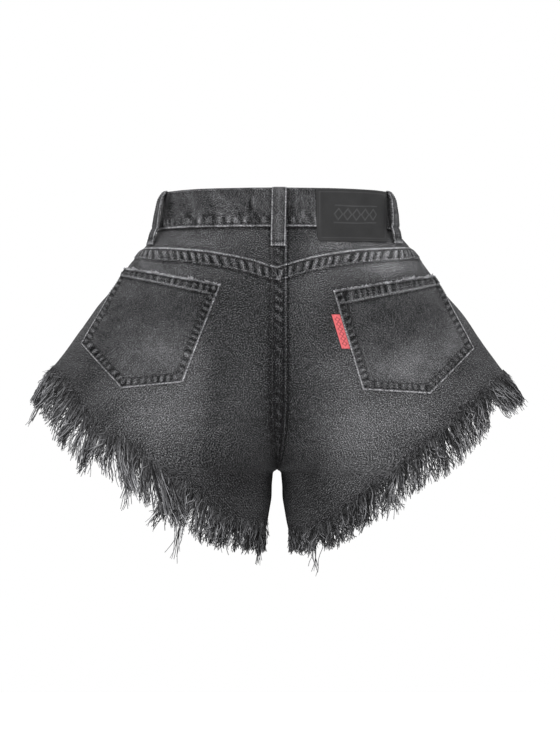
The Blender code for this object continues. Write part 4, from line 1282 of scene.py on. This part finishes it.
# How far a loop stands off the form, all the way down it.
LOOP_BOW = Table(
    ("share", "snug", "slack"),
    [
        (0, BAND_OUT + GAP, BAND_OUT + GAP),
        (0.08, 3.4, 4.2),
        (0.2, 4.8, 6.4),
        (0.35, 4.2, 7.2),
        (0.5, 3.6, 7.8),
        (0.68, 4.2, 7.6),
        (0.82, 4.2, 6.0),
        (0.92, 2.4, 3.4),
        (1, FELL_RISE + GAP, FELL_RISE + GAP),
    ],
)
# Each loop's turn at its upper and lower end, its length, and how it bows.
LOOPS = {
    "belt_loop_back": (-1.0, -0.4, 57.0, "snug"),
    "belt_loop_side_left": (71.0, 63.0, 54.5, "slack"),
    "belt_loop_side_right": (-70.5, -57.0, 53.5, "slack"),
    "belt_loop_front_left": (146.0, 142.0, 55.0, "slack"),
    "belt_loop_front_right": (-146.0, -142.0, 55.0, "slack"),
}


def make_loop(node, upper, lower, length, bow):
    shares = row_shares(length, 0.9, LOOP_END_ROWS, LOOP_END_ROWS)
    around = upper + shares * (lower - upper)
    heights = WAIST_TOP("height", abs(upper)) - shares * length
    across = np.concatenate([[-7.0, -6.7, -6.3], np.linspace(-5.7, 5.7, 15), [6.3, 6.7, 7.0]])
    p = Patch(*strip_grid(around, heights, across))
    level = np.zeros_like(p.lift)
    seat = LOOP_BOW(bow, shares)[:, None] + level
    edge = LOOP_WIDTH / 2 - np.abs(across)[None, :] + level
    end = np.minimum(shares, 1 - shares)[:, None] * length + level
    low = (1 - shares)[:, None] * length + level
    p.lift += seat + LOOP_CLOTH
    p.shade += (0.05 if bow == "slack" else 0.07) + 0.05 * mottle(p.across, p.down, step=5, seed=len(node))
    p.turn_edge(edge, radius=0.9, drop=0.45)
    p.beads(edge, p.down, at=0.7, half=0.75, light=0.50, pitch=2.6, seed=83)
    # Grooves at the stitch rows, and at the bar tack below, are painted darker, as shade in them.
    p.line(edge, at=2.1, half=0.6, depth=-0.25, light=-0.14)
    p.line(edge, at=7.0, half=1.0, light=0.08)
    p.line(end, at=0.4, half=0.6, light=0.14)
    p.shade += 0.26 * ease((3.0 - low) / 1.6) * (0.6 + 0.4 * wander(p.across, step=1.5, seed=81))
    p.line(low, at=4.2, half=0.9, depth=-0.25, light=-0.14)
    p.line(low, at=20.0, half=14.0, light=-0.03)
    made = shell(f"denim_{node}", p, soft_denim, soft_denim, back=seat)
    middle = len(shares) // 2, len(across) // 2
    for line in (p.outer()[:, 0], p.outer()[:, -1]):
        sew(TREES[made.name], line[2:-3], 2.0, p.point[middle], 0.34, outward=p.normal[middle], pitch=2.6)
    sewn = finish_sewing(f"stitches_{node}")
    cloth_piece(node)


# ---------------------------------------------------------------- the waist patch
PATCH_TOP, PATCH_FOOT, PATCH_THICK = 14.0, -37.2, 1.3
PATCH_EDGES = Table(
    ("height", "inner", "outer"),
    [(PATCH_TOP, 16.3, 65.2), (-4.0, 16.1, 61.3), (WAIST_SEAM, 15.6, 56.3), (PATCH_FOOT, 14.7, 48.4)],
)
PATCH_ROUND = 2.6  # radius of its corners
PATCH_FRAME = (3.2, 0.55)  # how far in the pressed border lies, and its half width
PATCH_END_ROWS = (0, 0.15, 0.45, 0.9, 1.6)
DIAMOND_LONG, DIAMOND_TALL, DIAMOND_PITCH = 4.0, 5.6, 9.0  # half the size of one, and their distance
DIAMONDS_HALF, BAR_AT = 22.4, 8.6  # half the length of the row, and how far the bars lie from its middle


def make_patch():
    """A leather patch with a pressed border and a plain row of diamonds, and no other mark."""
    tall = PATCH_TOP - PATCH_FOOT
    ends = np.array(PATCH_END_ROWS)
    drop = np.concatenate([ends, np.linspace(2.4, tall - 2.4, 62), tall - ends[::-1]])
    heights = PATCH_TOP - drop
    near = np.clip(PATCH_ROUND - np.minimum(drop, tall - drop), 0, None)
    pull = PATCH_ROUND - np.sqrt(np.clip(PATCH_ROUND**2 - near**2, 0, None))
    inner, outer = PATCH_EDGES("inner", heights), PATCH_EDGES("outer", heights)
    inner = inner + pull * degrees_per_mm(-inner, heights)
    outer = outer - pull * degrees_per_mm(-outer, heights)
    share = np.concatenate([[0, 0.006, 0.016, 0.03], np.linspace(0.05, 0.95, 84), [0.97, 0.984, 0.994, 1]])
    around = -(outer[:, None] + share[None, :] * (inner - outer)[:, None])
    p = Patch(around, np.repeat(heights[:, None], len(share), axis=1))
    seat = BAND_OUT + LAID_GAP - 0.9 * ease((WAIST_SEAM + 1 - p.height) / 9)
    p.lift += seat + PATCH_THICK
    border = np.concatenate([p.point[0], p.point[1:, -1], p.point[-1, -2::-1], p.point[-2::-1, 0]])
    edge, _run = near_line(p.point, thin(border, 2))
    p.shade[:] = 0.065 + 0.02 * mottle(p.across, p.down, step=11, seed=91)
    p.turn_edge(edge, radius=1.1, drop=0.6)
    p.line(edge, at=0.6, half=0.6, light=0.08)
    p.line(edge, *PATCH_FRAME, -0.3, 0.12)
    x = p.across - p.across[:, -1:] / 2
    z = p.down - tall / 2
    cell = np.abs(np.mod(x + DIAMOND_PITCH / 2, DIAMOND_PITCH) - DIAMOND_PITCH / 2)
    diamond = cell / DIAMOND_LONG + np.abs(z) / DIAMOND_TALL
    row = np.abs(x) < DIAMONDS_HALF
    pressed = row & (edge > 5)
    p.lift -= 0.3 * bell(diamond, 1, 0.16) * pressed
    p.shade += 0.20 * bell(diamond, 1, 0.17) * pressed
    for level in (-BAR_AT, BAR_AT):
        p.swell(bell(z, level, 0.5) * row, -0.25, 0.18)
    made = shell("leather_patch", p, leather, leather, back=seat)
    cloth_piece("waist_patch")


# ---------------------------------------------------------------- back pockets
# Each pocket's corners, as turn and height, and its hem's depth at the inner and outer end.
POCKETS = {
    "left": {
        "top_in": (16.1, -79.2),
        "top_out": (84.0, -61.0),
        "low_out": (61.6, -135.4),
        "foot": (32.9, -178.1),
        "low_in": (19.0, -172.0),
        "hem": (11.0, 9.0),
    },
    "right": {
        "top_in": (15.6, -85.4),
        "top_out": (84.0, -68.5),
        "low_out": (60.2, -140.0),
        "foot": (31.8, -183.0),
        "low_in": (16.9, -178.8),
        "hem": (14.0, 10.5),
    },
}
POCKET_FOOT = 0.583  # how far across the pocket its lowest corner lies
POCKET_COLUMNS = (0, 0.1, 0.2, 0.3, 0.4, 0.49, POCKET_FOOT, 0.67, 0.75, 0.82, 0.88, 0.93, 0.965, 0.988, 1)
HEM_ROWS = (0, 0.04, 0.1, 0.18, 0.28, 0.4, 0.52, 0.64, 0.76, 0.86, 0.93, 1.0)
POCKET_FOOT_ROWS = (0.972, 0.982, 0.990, 0.996, 1)
POCKET_PITCH = 2.9
HEM_WAVE = 6.5  # from one pucker of the hem to the next


def from_behind(corner):
    """A corner's distance across, seen from behind, and its height."""
    x, _y = section(corner[0], corner[1])
    return np.array([float(x), corner[1]])


def onto_cloth(grid):
    """Turn and height for distances across and heights, on the wearer's left half of the back."""
    low, high = np.zeros(grid.shape[:-1]), np.full(grid.shape[:-1], 90.0)
    for _ in range(30):
        middle = (low + high) / 2
        x, _y = section(middle, grid[..., 1])
        beyond = x > grid[..., 0]
        high = np.where(beyond, middle, high)
        low = np.where(beyond, low, middle)
    return np.stack([(low + high) / 2, grid[..., 1]], axis=-1)


def pocket_grid(corners):
    """Turns and heights of a pocket: its mouth's hem first, and then its body."""
    last = len(POCKET_COLUMNS) - 1
    columns = np.interp(np.linspace(0, last, 6 * last + 1), np.arange(last + 1), POCKET_COLUMNS)
    across = np.concatenate([[0, 0.004, 0.009], columns[1:-1], [0.997, 0.9988, 1]])[:, None]
    body_rows = np.concatenate([np.linspace(0, 0.96, 88)[1:], POCKET_FOOT_ROWS])
    names = ("top_in", "top_out", "low_out", "foot", "low_in")
    top_in, top_out, low_out, foot, low_in = (from_behind(corners[name]) for name in names)
    mouth = top_in + across * (top_out - top_in)
    near = low_in + np.minimum(across / POCKET_FOOT, 1) * (foot - low_in)
    far = foot + np.clip((across - POCKET_FOOT) / (1 - POCKET_FOOT), 0, 1) * (low_out - foot)
    base = np.where(across <= POCKET_FOOT, near, far)
    upper, lower = (form(*onto_cloth(edge).T) for edge in (mouth, base))
    hem = np.interp(across[:, 0], (0, 1), corners["hem"])
    hem_share = (hem / np.linalg.norm(upper - lower, axis=-1))[:, None]
    grid = [mouth + (base - mouth) * hem_share * share for share in HEM_ROWS]
    grid += [mouth + (base - mouth) * (hem_share + (1 - hem_share) * share) for share in body_rows]
    return onto_cloth(np.array(grid))


FROM_BEHIND = np.array([1.0, 0.35, 1.0])  # the pockets' puckers keep their width as seen from behind


def dress_mouth(p, mouth, mouth_run, hem_depth, side):
    """The pocket's folded hem: a frayed upper edge, puckers painted lighter where they rise, a groove painted
    darker, and a worn step with a painted shadow under it.
    """
    p.turn_edge(mouth, radius=0.9, drop=0.5)
    frayed = 0.7 + 0.5 * wander(mouth_run, step=5, seed=107 + side)
    p.shade += 0.75 * frayed * bell(mouth, 0.6, 1.0)
    # A groove painted darker, as shade in it.
    p.line(mouth, at=2.5, half=0.9, depth=-0.25, light=-0.18)
    p.line(p.down - hem_depth, at=-0.8, half=0.9, light=0.28)
    # A painted shadow under the hem's step.
    p.line(p.down - hem_depth, at=1.4, half=1.2, light=-0.15)
    inside_hem = ease((hem_depth - 1.5 - mouth) / 1.5) * ease((mouth - 2.0) / 1.0)
    wave = np.cos(2 * np.pi * (mouth_run / HEM_WAVE + 0.4 * wander(mouth_run, step=13, seed=108 + side)))
    patchy = 0.75 + 0.75 * wander(mouth_run, step=9, seed=109 + side)
    p.swell(wave * patchy * inside_hem, 0.35, 0.19)
    p.shade -= 0.02 * inside_hem


def make_pocket(word, side):
    grid = pocket_grid(POCKETS[word])
    around, height = side * grid[..., 0], grid[..., 1]
    if side < 0:
        around, height = around[:, ::-1], height[:, ::-1]
    p = Patch(around, height)
    hem_end = len(HEM_ROWS) - 1
    p.lift += LAID_GAP + CLOTH
    p.lift[: hem_end - 1] += FELL_RISE
    p.lift[hem_end - 1] += FELL_RISE * 0.7
    p.fade()
    top = p.point[0]
    sides = (p.point[:, 0], p.point[-1, 1:], p.point[-2::-1, -1])
    if side < 0:
        sides = (p.point[:, -1], p.point[-1, -2::-1], p.point[-2::-1, 0])
    rest = np.concatenate(sides)
    edge, along = near_line(p.point * FROM_BEHIND, thin(rest, 3) * FROM_BEHIND)
    mouth, mouth_run = near_line(p.point * FROM_BEHIND, thin(top, 3) * FROM_BEHIND)
    p.shade += 0.02 + 0.03 * mottle(p.across, p.down, step=8, seed=101 + side)
    p.shade += 0.02 * mottle(p.across, p.down, step=20, seed=103 + side)
    p.lift += 0.45 * mottle(p.across, p.down, step=26, seed=104 + side) * ease(edge / 10)
    p.turn_edge(edge, radius=0.9, drop=0.5)
    p.line(edge, at=5.4, half=3.2, light=-0.04)
    p.puckers(
        edge,
        along,
        near=2.4,
        out=8.4,
        period=6.2,
        depth=0.6,
        light=0.22 + 0.03 * side,
        slant=0.15,
        seed=105 + side,
    )
    p.beads(edge, along, at=0.75, half=0.8, light=0.55, pitch=POCKET_PITCH, seed=106 + side)
    # The grooves at both stitch rows are painted darker, as shade in them.
    p.line(edge, at=2.3, half=0.8, depth=-0.28, light=-0.18)
    p.line(edge, at=8.6, half=0.9, depth=-0.3, light=-0.10)
    hem_depth = p.down[hem_end : hem_end + 1]
    dress_mouth(p, mouth, mouth_run, hem_depth, side)
    made = shell(f"denim_back_pocket_{word}", p, soft_denim, soft_denim, back=LAID_GAP)
    tree, inside = TREES[made.name], p.point[50, 46]
    for inset, shade in ((2.0, 0.36), (8.6, 0.26)):
        sew(tree, thin(rest, 2), inset, inside, shade, guard=thin(rest, 2), pitch=POCKET_PITCH)
    for inset in (2.3, float(hem_depth.mean()) - 2.2):
        sew(tree, thin(top, 2), inset, inside, 0.34, pitch=POCKET_PITCH)
    sewn = finish_sewing(f"stitches_back_pocket_{word}")
    tufts = fray_mouth(word, side, p)
    cloth_piece(f"back_pocket_{word}")


MOUTH_TUFTS = {"left": (0.33, 0.55, 0.80, 0.9), "right": (0.18, 0.28, 0.47, 0.52)}  # shares of the mouth
MOUTH_THREADS, TUFT_THREADS = 330, 110  # in all, and in the tufts


def fray_mouth(word, side, p):
    """Short broken threads along a pocket's worn mouth, in small tufts at a few places."""
    chance = np.random.default_rng(120 + side)
    top = p.outer()[0]
    run = run_of(top)
    count, tufted = MOUTH_THREADS, TUFT_THREADS
    at = chance.uniform(0, run[-1], count)
    bunch = np.array(MOUTH_TUFTS[word]) * run[-1]
    if side > 0:
        bunch = run[-1] - bunch
    at[:tufted] = chance.choice(bunch, tufted) + chance.normal(0, 1.8, tufted)
    at = np.clip(at, 0.5, run[-1] - 0.5)
    long = chance.uniform(0.7, 2.0, count)
    long[:tufted] = chance.uniform(1.4, 3.4, tufted)
    root, normal = read_at(top, run, at), read_at(p.normal[0], run, at)
    along = unit(top[-1] - top[0])
    lean = chance.normal(0, 0.9, (count, 1)) * along
    rise = np.array([0, 0, 1.0]) * chance.uniform(-0.5, 1.0, (count, 1))
    heading = unit(lean + rise + normal * chance.uniform(0.1, 0.7, (count, 1)))
    t = np.linspace(0, 1, 4)
    lines = (root - normal * 0.5)[:, None] + heading[:, None] * (long[:, None] * t)[..., None]
    lines = lines + along * (chance.normal(0, 0.5, (count, 1)) * t**2)[..., None]
    radii = np.tile(np.linspace(0.34, 0.2, 4), (count, 1))
    shade = np.repeat(chance.uniform(0.6, 1.0, (count, 1)), 4, axis=1)
    made = tubes(f"fray_pocket_{word}", [(lines, radii, shade)], 3, fray)
    return made


TAB_FROM, TAB_TO = 0.24, 0.585  # where it starts and ends down the pocket's edge
TAB_WIDTH, TAB_THICK = 8.0, 1.0
TAB_CELL = 4.8  # length of each diamond woven into it


def make_tab():
    """A folded ribbon, held in the pocket's inner seam, with a plain row of woven diamonds."""
    corners = POCKETS["right"]
    top, foot = from_behind(corners["top_in"]), from_behind(corners["low_in"])
    share = np.linspace(TAB_FROM, TAB_TO, 120)[:, None]
    edge = onto_cloth(top + (foot - top) * share)
    middle = np.linspace(0.7, TAB_WIDTH - 0.3, 28)
    across = np.concatenate([[GAP, 0.45], middle, [TAB_WIDTH - 0.1, TAB_WIDTH]])
    p = Patch(*strip_grid(-edge[:, 0], edge[:, 1], across))
    p.shade[:] = 0.5
    p.lift += LAID_GAP + TAB_THICK
    far = TAB_WIDTH - across[None, :] + np.zeros_like(p.lift)
    ends = np.minimum(p.down, p.down[-1:] - p.down)
    p.turn_edge(far, radius=0.8, drop=0.45)
    p.line(far, at=1.6, half=0.5, depth=-0.08, light=-0.12)
    p.line(ends, at=0.3, half=0.6, depth=-0.1, light=-0.10)
    p.lift += 0.35 * np.sin(p.down * 2 * np.pi / 30) * (across / TAB_WIDTH)[None, :]
    # Painted shade: darker towards the edge that lies beside the pocket's raised edge.
    p.shade -= 0.14 * ease((4.5 - (p.across[:, -1:] - far)) / 4.5)
    cell = np.abs(np.mod(p.down - 2.6, TAB_CELL) - TAB_CELL / 2) / (TAB_CELL / 2)
    diamond = cell + np.abs(across[None, :] - TAB_WIDTH / 2) / (TAB_WIDTH * 0.3)
    p.shade -= 0.48 * bell(diamond, 0.9, 0.22) * (ends > 2.2)
    made = shell("ribbon_tab", p, ribbon, ribbon, back=LAID_GAP)
    cloth_piece("pocket_tab")


# ---------------------------------------------------------------- button
BUTTON_HEIGHT, BUTTON_SIDES = -2.0, 64
# Its radius, and how far it stands off the waistband, from the middle of its face to its shank.
BUTTON_PROFILE = [
    (0.01, 4.2), (1.2, 4.25), (2.4, 4.05), (3.6, 3.85), (4.8, 3.95), (5.4, 4.3),
    (6.1, 4.75), (6.9, 4.85), (7.6, 4.7), (8.2, 4.3), (8.5, 3.7), (8.5, 2.9),
    (8.2, 2.3), (7.6, 1.9), (5.0, 1.7), (3.0, 1.6), (3.0, 0.5), (0.01, 0.5),
]


def make_button():
    point, normal = surface(np.array(180.0), np.array(BUTTON_HEIGHT))
    base = point + normal * BAND_OUT
    out = np.array([0.0, -1.0, 0.0])
    turn = np.arange(BUTTON_SIDES) * 2 * np.pi / BUTTON_SIDES
    ring = np.stack([np.cos(turn), np.zeros_like(turn), np.sin(turn)], axis=-1)
    points = np.concatenate([base + ring * r + out * o for r, o in BUTTON_PROFILE])
    index = np.arange(len(points)).reshape(len(BUTTON_PROFILE), BUTTON_SIDES)
    beside = np.roll(index, -1, axis=1)
    faces = np.stack([index[:-1], beside[:-1], beside[1:], index[1:]], axis=-1).reshape(-1, 4).tolist()
    faces += [index[0, ::-1].tolist(), index[-1].tolist()]
    made = add_mesh("metal_button", points, faces, [metal], sharp=60)
    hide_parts("waist_button")


# ---------------------------------------------------------------- fringe
FRINGE_LENGTH = Table(
    ("turn", "left", "right"),
    [
        (0, 27, 20),
        (8, 27, 22),
        (15, 38, 27),
        (20, 42, 34),
        (30, 42, 36),
        (45, 40, 33),
        (65, 37, 31),
        (90, 36, 28),
        (130, 34, 32),
        (165, 30, 28),
        (180, 25, 20),
    ],
)
# Single long locks: which strip, how far round and how long.
LONG_LOCKS = [
    ("back_left", 3, 42),
    ("back_left", 16.5, 66),
    ("back_left", 18.5, 52),
    ("back_left", 25.5, 60),
    ("back_left", 60, 58),
    ("back_right", 7, 42),
    ("back_right", 21, 46),
]
STRANDS = {"back": 1900, "front": 1300}  # in each strip
FUZZ = 450  # short threads that lie over the raw edge, in each strip
RINGS, FUZZ_RINGS = 10, 5
EDGE_POINTS, MOST_LOCKS, LOCK_APART = 400, 80, (5.0, 13.0)
LONG_PULL = 0.8  # how far the threads of a long lock gather to its middle
LOCK_LENGTHS, LOCK_CHANCES = (0.66, 0.88, 0.95, 1.02, 1.08), (0.08, 0.22, 0.3, 0.25, 0.15)
THREAD_SHADES, THREAD_CHANCES = (0.14, 0.39, 0.68), (0.30, 0.40, 0.30)
# INSEAM_DARK paints threads near the inseams darker, as shade between the legs.
INSEAM_DARK, INSEAM_REACH = 0.15, 60.0  # threads near the inseams are darker
STRAYS = 0.2  # the share of threads that join the lock beside their own
WHOLE, HELD_BACK = 0.7, 0.75  # the share that is unbroken, and the share of a long lock that stays short
WHOLE_SHARE, BROKEN_SHARE, HELD_SHARE = (0.84, 1.05), (0.35, 0.85), (0.8, 1.0)  # of a lock's length


class RawEdge:
    """One panel's raw hem, with its directions anywhere along it."""

    def __init__(self, side, half):
        low, high = (0, 90) if half == "back" else (90, 180)
        self.turn = np.linspace(low + 1e-9, high, EDGE_POINTS)
        hem = hem_height(side * self.turn)
        self.line, self.out = surface(side * self.turn, hem)
        above, _out = surface(side * self.turn, hem + 6)
        self.down = unit(self.line - above)
        self.beside = unit(np.gradient(self.line, axis=0))
        self.run = run_of(self.line)

    def at(self, s):
        """Points on the hem, and the ways down, along it and out."""
        return [read_at(values, self.run, s) for values in (self.line, self.down, self.beside, self.out)]


def draw_locks(chance, edge, word, half, seed):
    """Where the locks of one strip lie along it, and how each hangs."""
    place = np.cumsum(chance.uniform(*LOCK_APART, MOST_LOCKS))
    place = place[place < edge.run[-1] - 1]
    count = len(place)
    turn = np.interp(place, edge.run, edge.turn)
    usual = FRINGE_LENGTH(word, turn)
    locks = {
        "place": place,
        "usual": usual,
        "length": usual * chance.choice(LOCK_LENGTHS, count, p=LOCK_CHANCES),
        "sway": 0.16 * wander(place, step=34, seed=seed + 1) + chance.normal(0, 0.12, count),
        "curl": chance.normal(0, 2.4, count),
        "tint": chance.normal(0, 0.04, count),
        "pull": chance.uniform(0.1, 0.6, count),
        "phase": chance.uniform(0, 6, count),
        "beats": chance.uniform(3, 7, count),
        "swing": chance.uniform(0.3, 1.6, count),
        "long": np.zeros(count, bool),
    }
    for strip, at, length in LONG_LOCKS:
        if strip == f"{half}_{word}":
            nearest = np.argmin(np.abs(turn - at))
            for key, value in (("length", length), ("long", True), ("pull", LONG_PULL)):
                locks[key][nearest] = value
    return locks


def thread_lengths(chance, lock, column):
    """Most threads are as long as their lock, the rest are broken, and few reach the end of a long one."""
    whole = chance.uniform(0, 1, column) < WHOLE
    full, broken = chance.uniform(*WHOLE_SHARE, column), chance.uniform(*BROKEN_SHARE, column)
    reach = lock["length"] * np.where(whole, full, broken)
    held = lock["long"] & (chance.uniform(0, 1, column) < HELD_BACK)
    return np.where(held, np.minimum(reach, lock["usual"] * chance.uniform(*HELD_SHARE, column)), reach)


def hang(chance, edge, s, lock, reach, layer):
    """Centrelines of threads that sag from the hem, gather to their locks and wave."""
    column = reach.shape
    t = np.linspace(0, 1, RINGS)
    line, down, beside, out = edge.at(s)
    root = line + out * (-CLOTH + (CLOTH + 0.5) * layer)
    root = root - down * np.where(layer > 0.6, chance.uniform(0, 5.5, column), -0.2)
    sag = (0.03 + 0.26 * t)[None, :, None]
    heading = unit(down[:, None] * (1 - sag) + np.array([0, 0, -1.0]) * sag)
    step = np.concatenate([[0], np.full(RINGS - 1, 1 / (RINGS - 1))])[None, :, None]
    path = np.cumsum(heading * step, axis=1) * reach[..., None]
    gather = (lock["place"] - s[:, None]) * lock["pull"] * ease(t * 1.1)
    drift = lock["sway"] * lock["length"] * t**1.5
    phase, beats = chance.uniform(0, 6, column), chance.uniform(5, 16, column)
    own = chance.normal(0, 2.0, column) * t + chance.normal(0, 3.2, column) * t**4
    own = own + chance.uniform(0.5, 2.1, column) * np.sin(t * beats + phase) * t**0.5
    own = own + lock["swing"] * np.sin(t * lock["beats"] + lock["phase"]) * t
    aside = (gather + drift + own)[..., None]
    outward = lock["curl"] * t**1.4 + chance.normal(0, 1.3, column) * t
    outward = (outward + 0.9 * np.sin(t * beats * 0.8 + phase * 2) * t)[..., None]
    return root[:, None] + path + beside[:, None] * aside + out[:, None] * outward


def thread_shades(chance, root_x, lock, layer, t):
    """Dark, middling and pale threads, with painted shade: darker at their roots, near the inseams between
    the legs, and where they lie under the others.
    """
    column = layer.shape
    base = np.array(THREAD_SHADES)[chance.choice(3, column, p=THREAD_CHANCES)]
    # Threads lying under the others are painted darker, as shade.
    base = base + chance.normal(0, 0.06, column) + lock["tint"] + 0.10 * (layer - 0.5)
    base -= INSEAM_DARK * bell(root_x, 0, INSEAM_REACH)
    # Roots are painted darker, as shade among the dense threads.
    return np.clip(base * (0.48 + 0.52 * ease(t * 1.4)), 0.02, 0.95)


def make_fringe(word, side, half, seed):
    """The unravelled edge under one panel's hem: warp threads that bunch into locks as they hang."""
    chance = np.random.default_rng(seed)
    edge = RawEdge(side, half)
    locks = draw_locks(chance, edge, word, half, seed)
    strands = STRANDS[half]
    column = (strands, 1)
    s = np.sort(chance.uniform(0.2, edge.run[-1] - 0.2, strands))
    nearest = np.abs(s[:, None] - locks["place"][None]).argmin(axis=1)
    strays = chance.uniform(0, 1, strands) < STRAYS
    joins = np.clip(nearest + strays * chance.choice([-1, 1], strands), 0, len(locks["place"]) - 1)
    lock = {key: values[joins][:, None] for key, values in locks.items()}
    reach = thread_lengths(chance, lock, column)
    layer = chance.uniform(0, 1, column)  # 0 at the cloth's inner face, 1 lying over its outer one
    lines = hang(chance, edge, s, lock, reach, layer)
    root_x = lines[:, 0, :1].copy()
    lines[..., 0] = side * np.maximum(side * lines[..., 0], GAP)
    t = np.linspace(0, 1, RINGS)
    radii = chance.uniform(0.36, 0.60, column) * (1 - 0.35 * t**2)
    shade = thread_shades(chance, root_x, lock, layer, t)
    made = tubes(f"threads_{half}_{word}", [(lines, radii, shade), fuzz(chance, edge)], 3, fray)
    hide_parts(f"fringe_{half}_{word}")


def fuzz(chance, edge):
    """Short, crossing threads that lie over the cloth's raw edge."""
    column = (FUZZ, 1)
    line, down, beside, out = edge.at(chance.uniform(0.3, edge.run[-1] - 0.3, FUZZ))
    start = line - down * chance.uniform(-1, 6.5, column) + out * chance.uniform(0.2, 0.8, column)
    heading = down * chance.uniform(0.2, 1, column) + beside * chance.normal(0, 0.8, column)
    heading = unit(heading + out * 0.15)
    long = chance.uniform(2.5, 9, column)
    t = np.linspace(0, 1, FUZZ_RINGS)
    bend = chance.normal(0, 1.6, column) * t**2
    lines = start[:, None] + heading[:, None] * (long * t)[..., None] + beside[:, None] * bend[..., None]
    radii = np.tile(0.26 - 0.12 * t, column)
    shade = np.repeat(np.clip(chance.normal(0.34, 0.14, column), 0.05, 0.9), FUZZ_RINGS, axis=1)
    return lines, radii, shade


# ---------------------------------------------------------------- all pieces
make_waistband()
for word, side in SIDES:
    yoke_patch, yoke_made = make_yoke(word, side)
    back_patch, back_made = make_back(word, side)
    sew_back(word, side, yoke_patch, yoke_made, back_patch, back_made)
    make_front(word, side)
    make_facing(word, side)
    make_pocket(word, side)
for node, (upper, lower, length, bow) in LOOPS.items():
    make_loop(node, upper, lower, length, bow)
make_patch()
make_tab()
make_zip()
make_button()
for number, (half, word, side) in enumerate((h, w, s) for h in ("back", "front") for w, s in SIDES):
    make_fringe(word, side, half, 200 + 10 * number)


# ---------------------------------------------------------------- studio
def plain_material(name, colour):
    n = Nodes(name, 0.9, 0.1)
    n.shader.inputs["Base Color"].default_value = (*colour, 1.0)
    return n.material


FLOOR_HALF, FLOOR_HEIGHT = 2600, -900
LIGHTS_AIM = (0.0, 0.0, -0.16)  # metres, as are the lights' places and sizes; their powers are watts
LIGHTS = {
    "key": ((0.7, 2.2, 1.5), 1.6, 26.0),
    "fill": ((-1.6, 1.9, 0.3), 1.8, 12.0),
    "front": ((0.4, -2.4, 1.2), 1.8, 30.0),
}


def add_floor():
    ways = ((-1, -1), (1, -1), (1, 1), (-1, 1))
    corners = [(FLOOR_HALF * x, FLOOR_HALF * y, FLOOR_HEIGHT) for x, y in ways]
    mesh = bpy.data.meshes.new("floor")
    mesh.from_pydata((np.array(corners, float) * MM).tolist(), [], [(0, 1, 2, 3)])
    mesh.materials.append(plain_material("pale_floor", (0.82, 0.82, 0.82)))
    floor = bpy.data.objects.new("floor", mesh)
    bpy.context.scene.collection.objects.link(floor)


def add_light(name, place, size, power):
    lamp = bpy.data.lights.new(name, "AREA")
    lamp.shape, lamp.size, lamp.energy = "DISK", size, power
    made = bpy.data.objects.new(name, lamp)
    made.location = place
    made.rotation_euler = (Vector(LIGHTS_AIM) - Vector(place)).to_track_quat("-Z", "Y").to_euler()
    bpy.context.scene.collection.objects.link(made)


add_floor()
for name, (place, size, power) in LIGHTS.items():
    add_light(name, place, size, power)

world = bpy.data.worlds.new("studio")
world.use_nodes = True
world.node_tree.nodes["Background"].inputs["Color"].default_value = (1.0, 1.0, 1.0, 1.0)
world.node_tree.nodes["Background"].inputs["Strength"].default_value = 1.0
bpy.context.scene.world = world
bpy.context.scene.view_settings.view_transform = "Standard"

CAMERA_X, CAMERA_AWAY, CAMERA_Z = -3.0, 2000.0, -163.0
PHOTO_TALL = 746  # pixels; one of them shows a millimetre in the plane of the waist's middle
SENSOR = 36.0
camera_data = bpy.data.cameras.new("camera")
camera_data.sensor_fit = "AUTO"
camera_data.sensor_width = SENSOR
camera_data.lens = CAMERA_AWAY / PHOTO_TALL * SENSOR
camera = bpy.data.objects.new("camera", camera_data)
camera.location = (CAMERA_X * MM, CAMERA_AWAY * MM, CAMERA_Z * MM)
camera.rotation_euler = (math.radians(90), 0.0, math.radians(180))
bpy.context.scene.collection.objects.link(camera)
bpy.context.scene.camera = camera
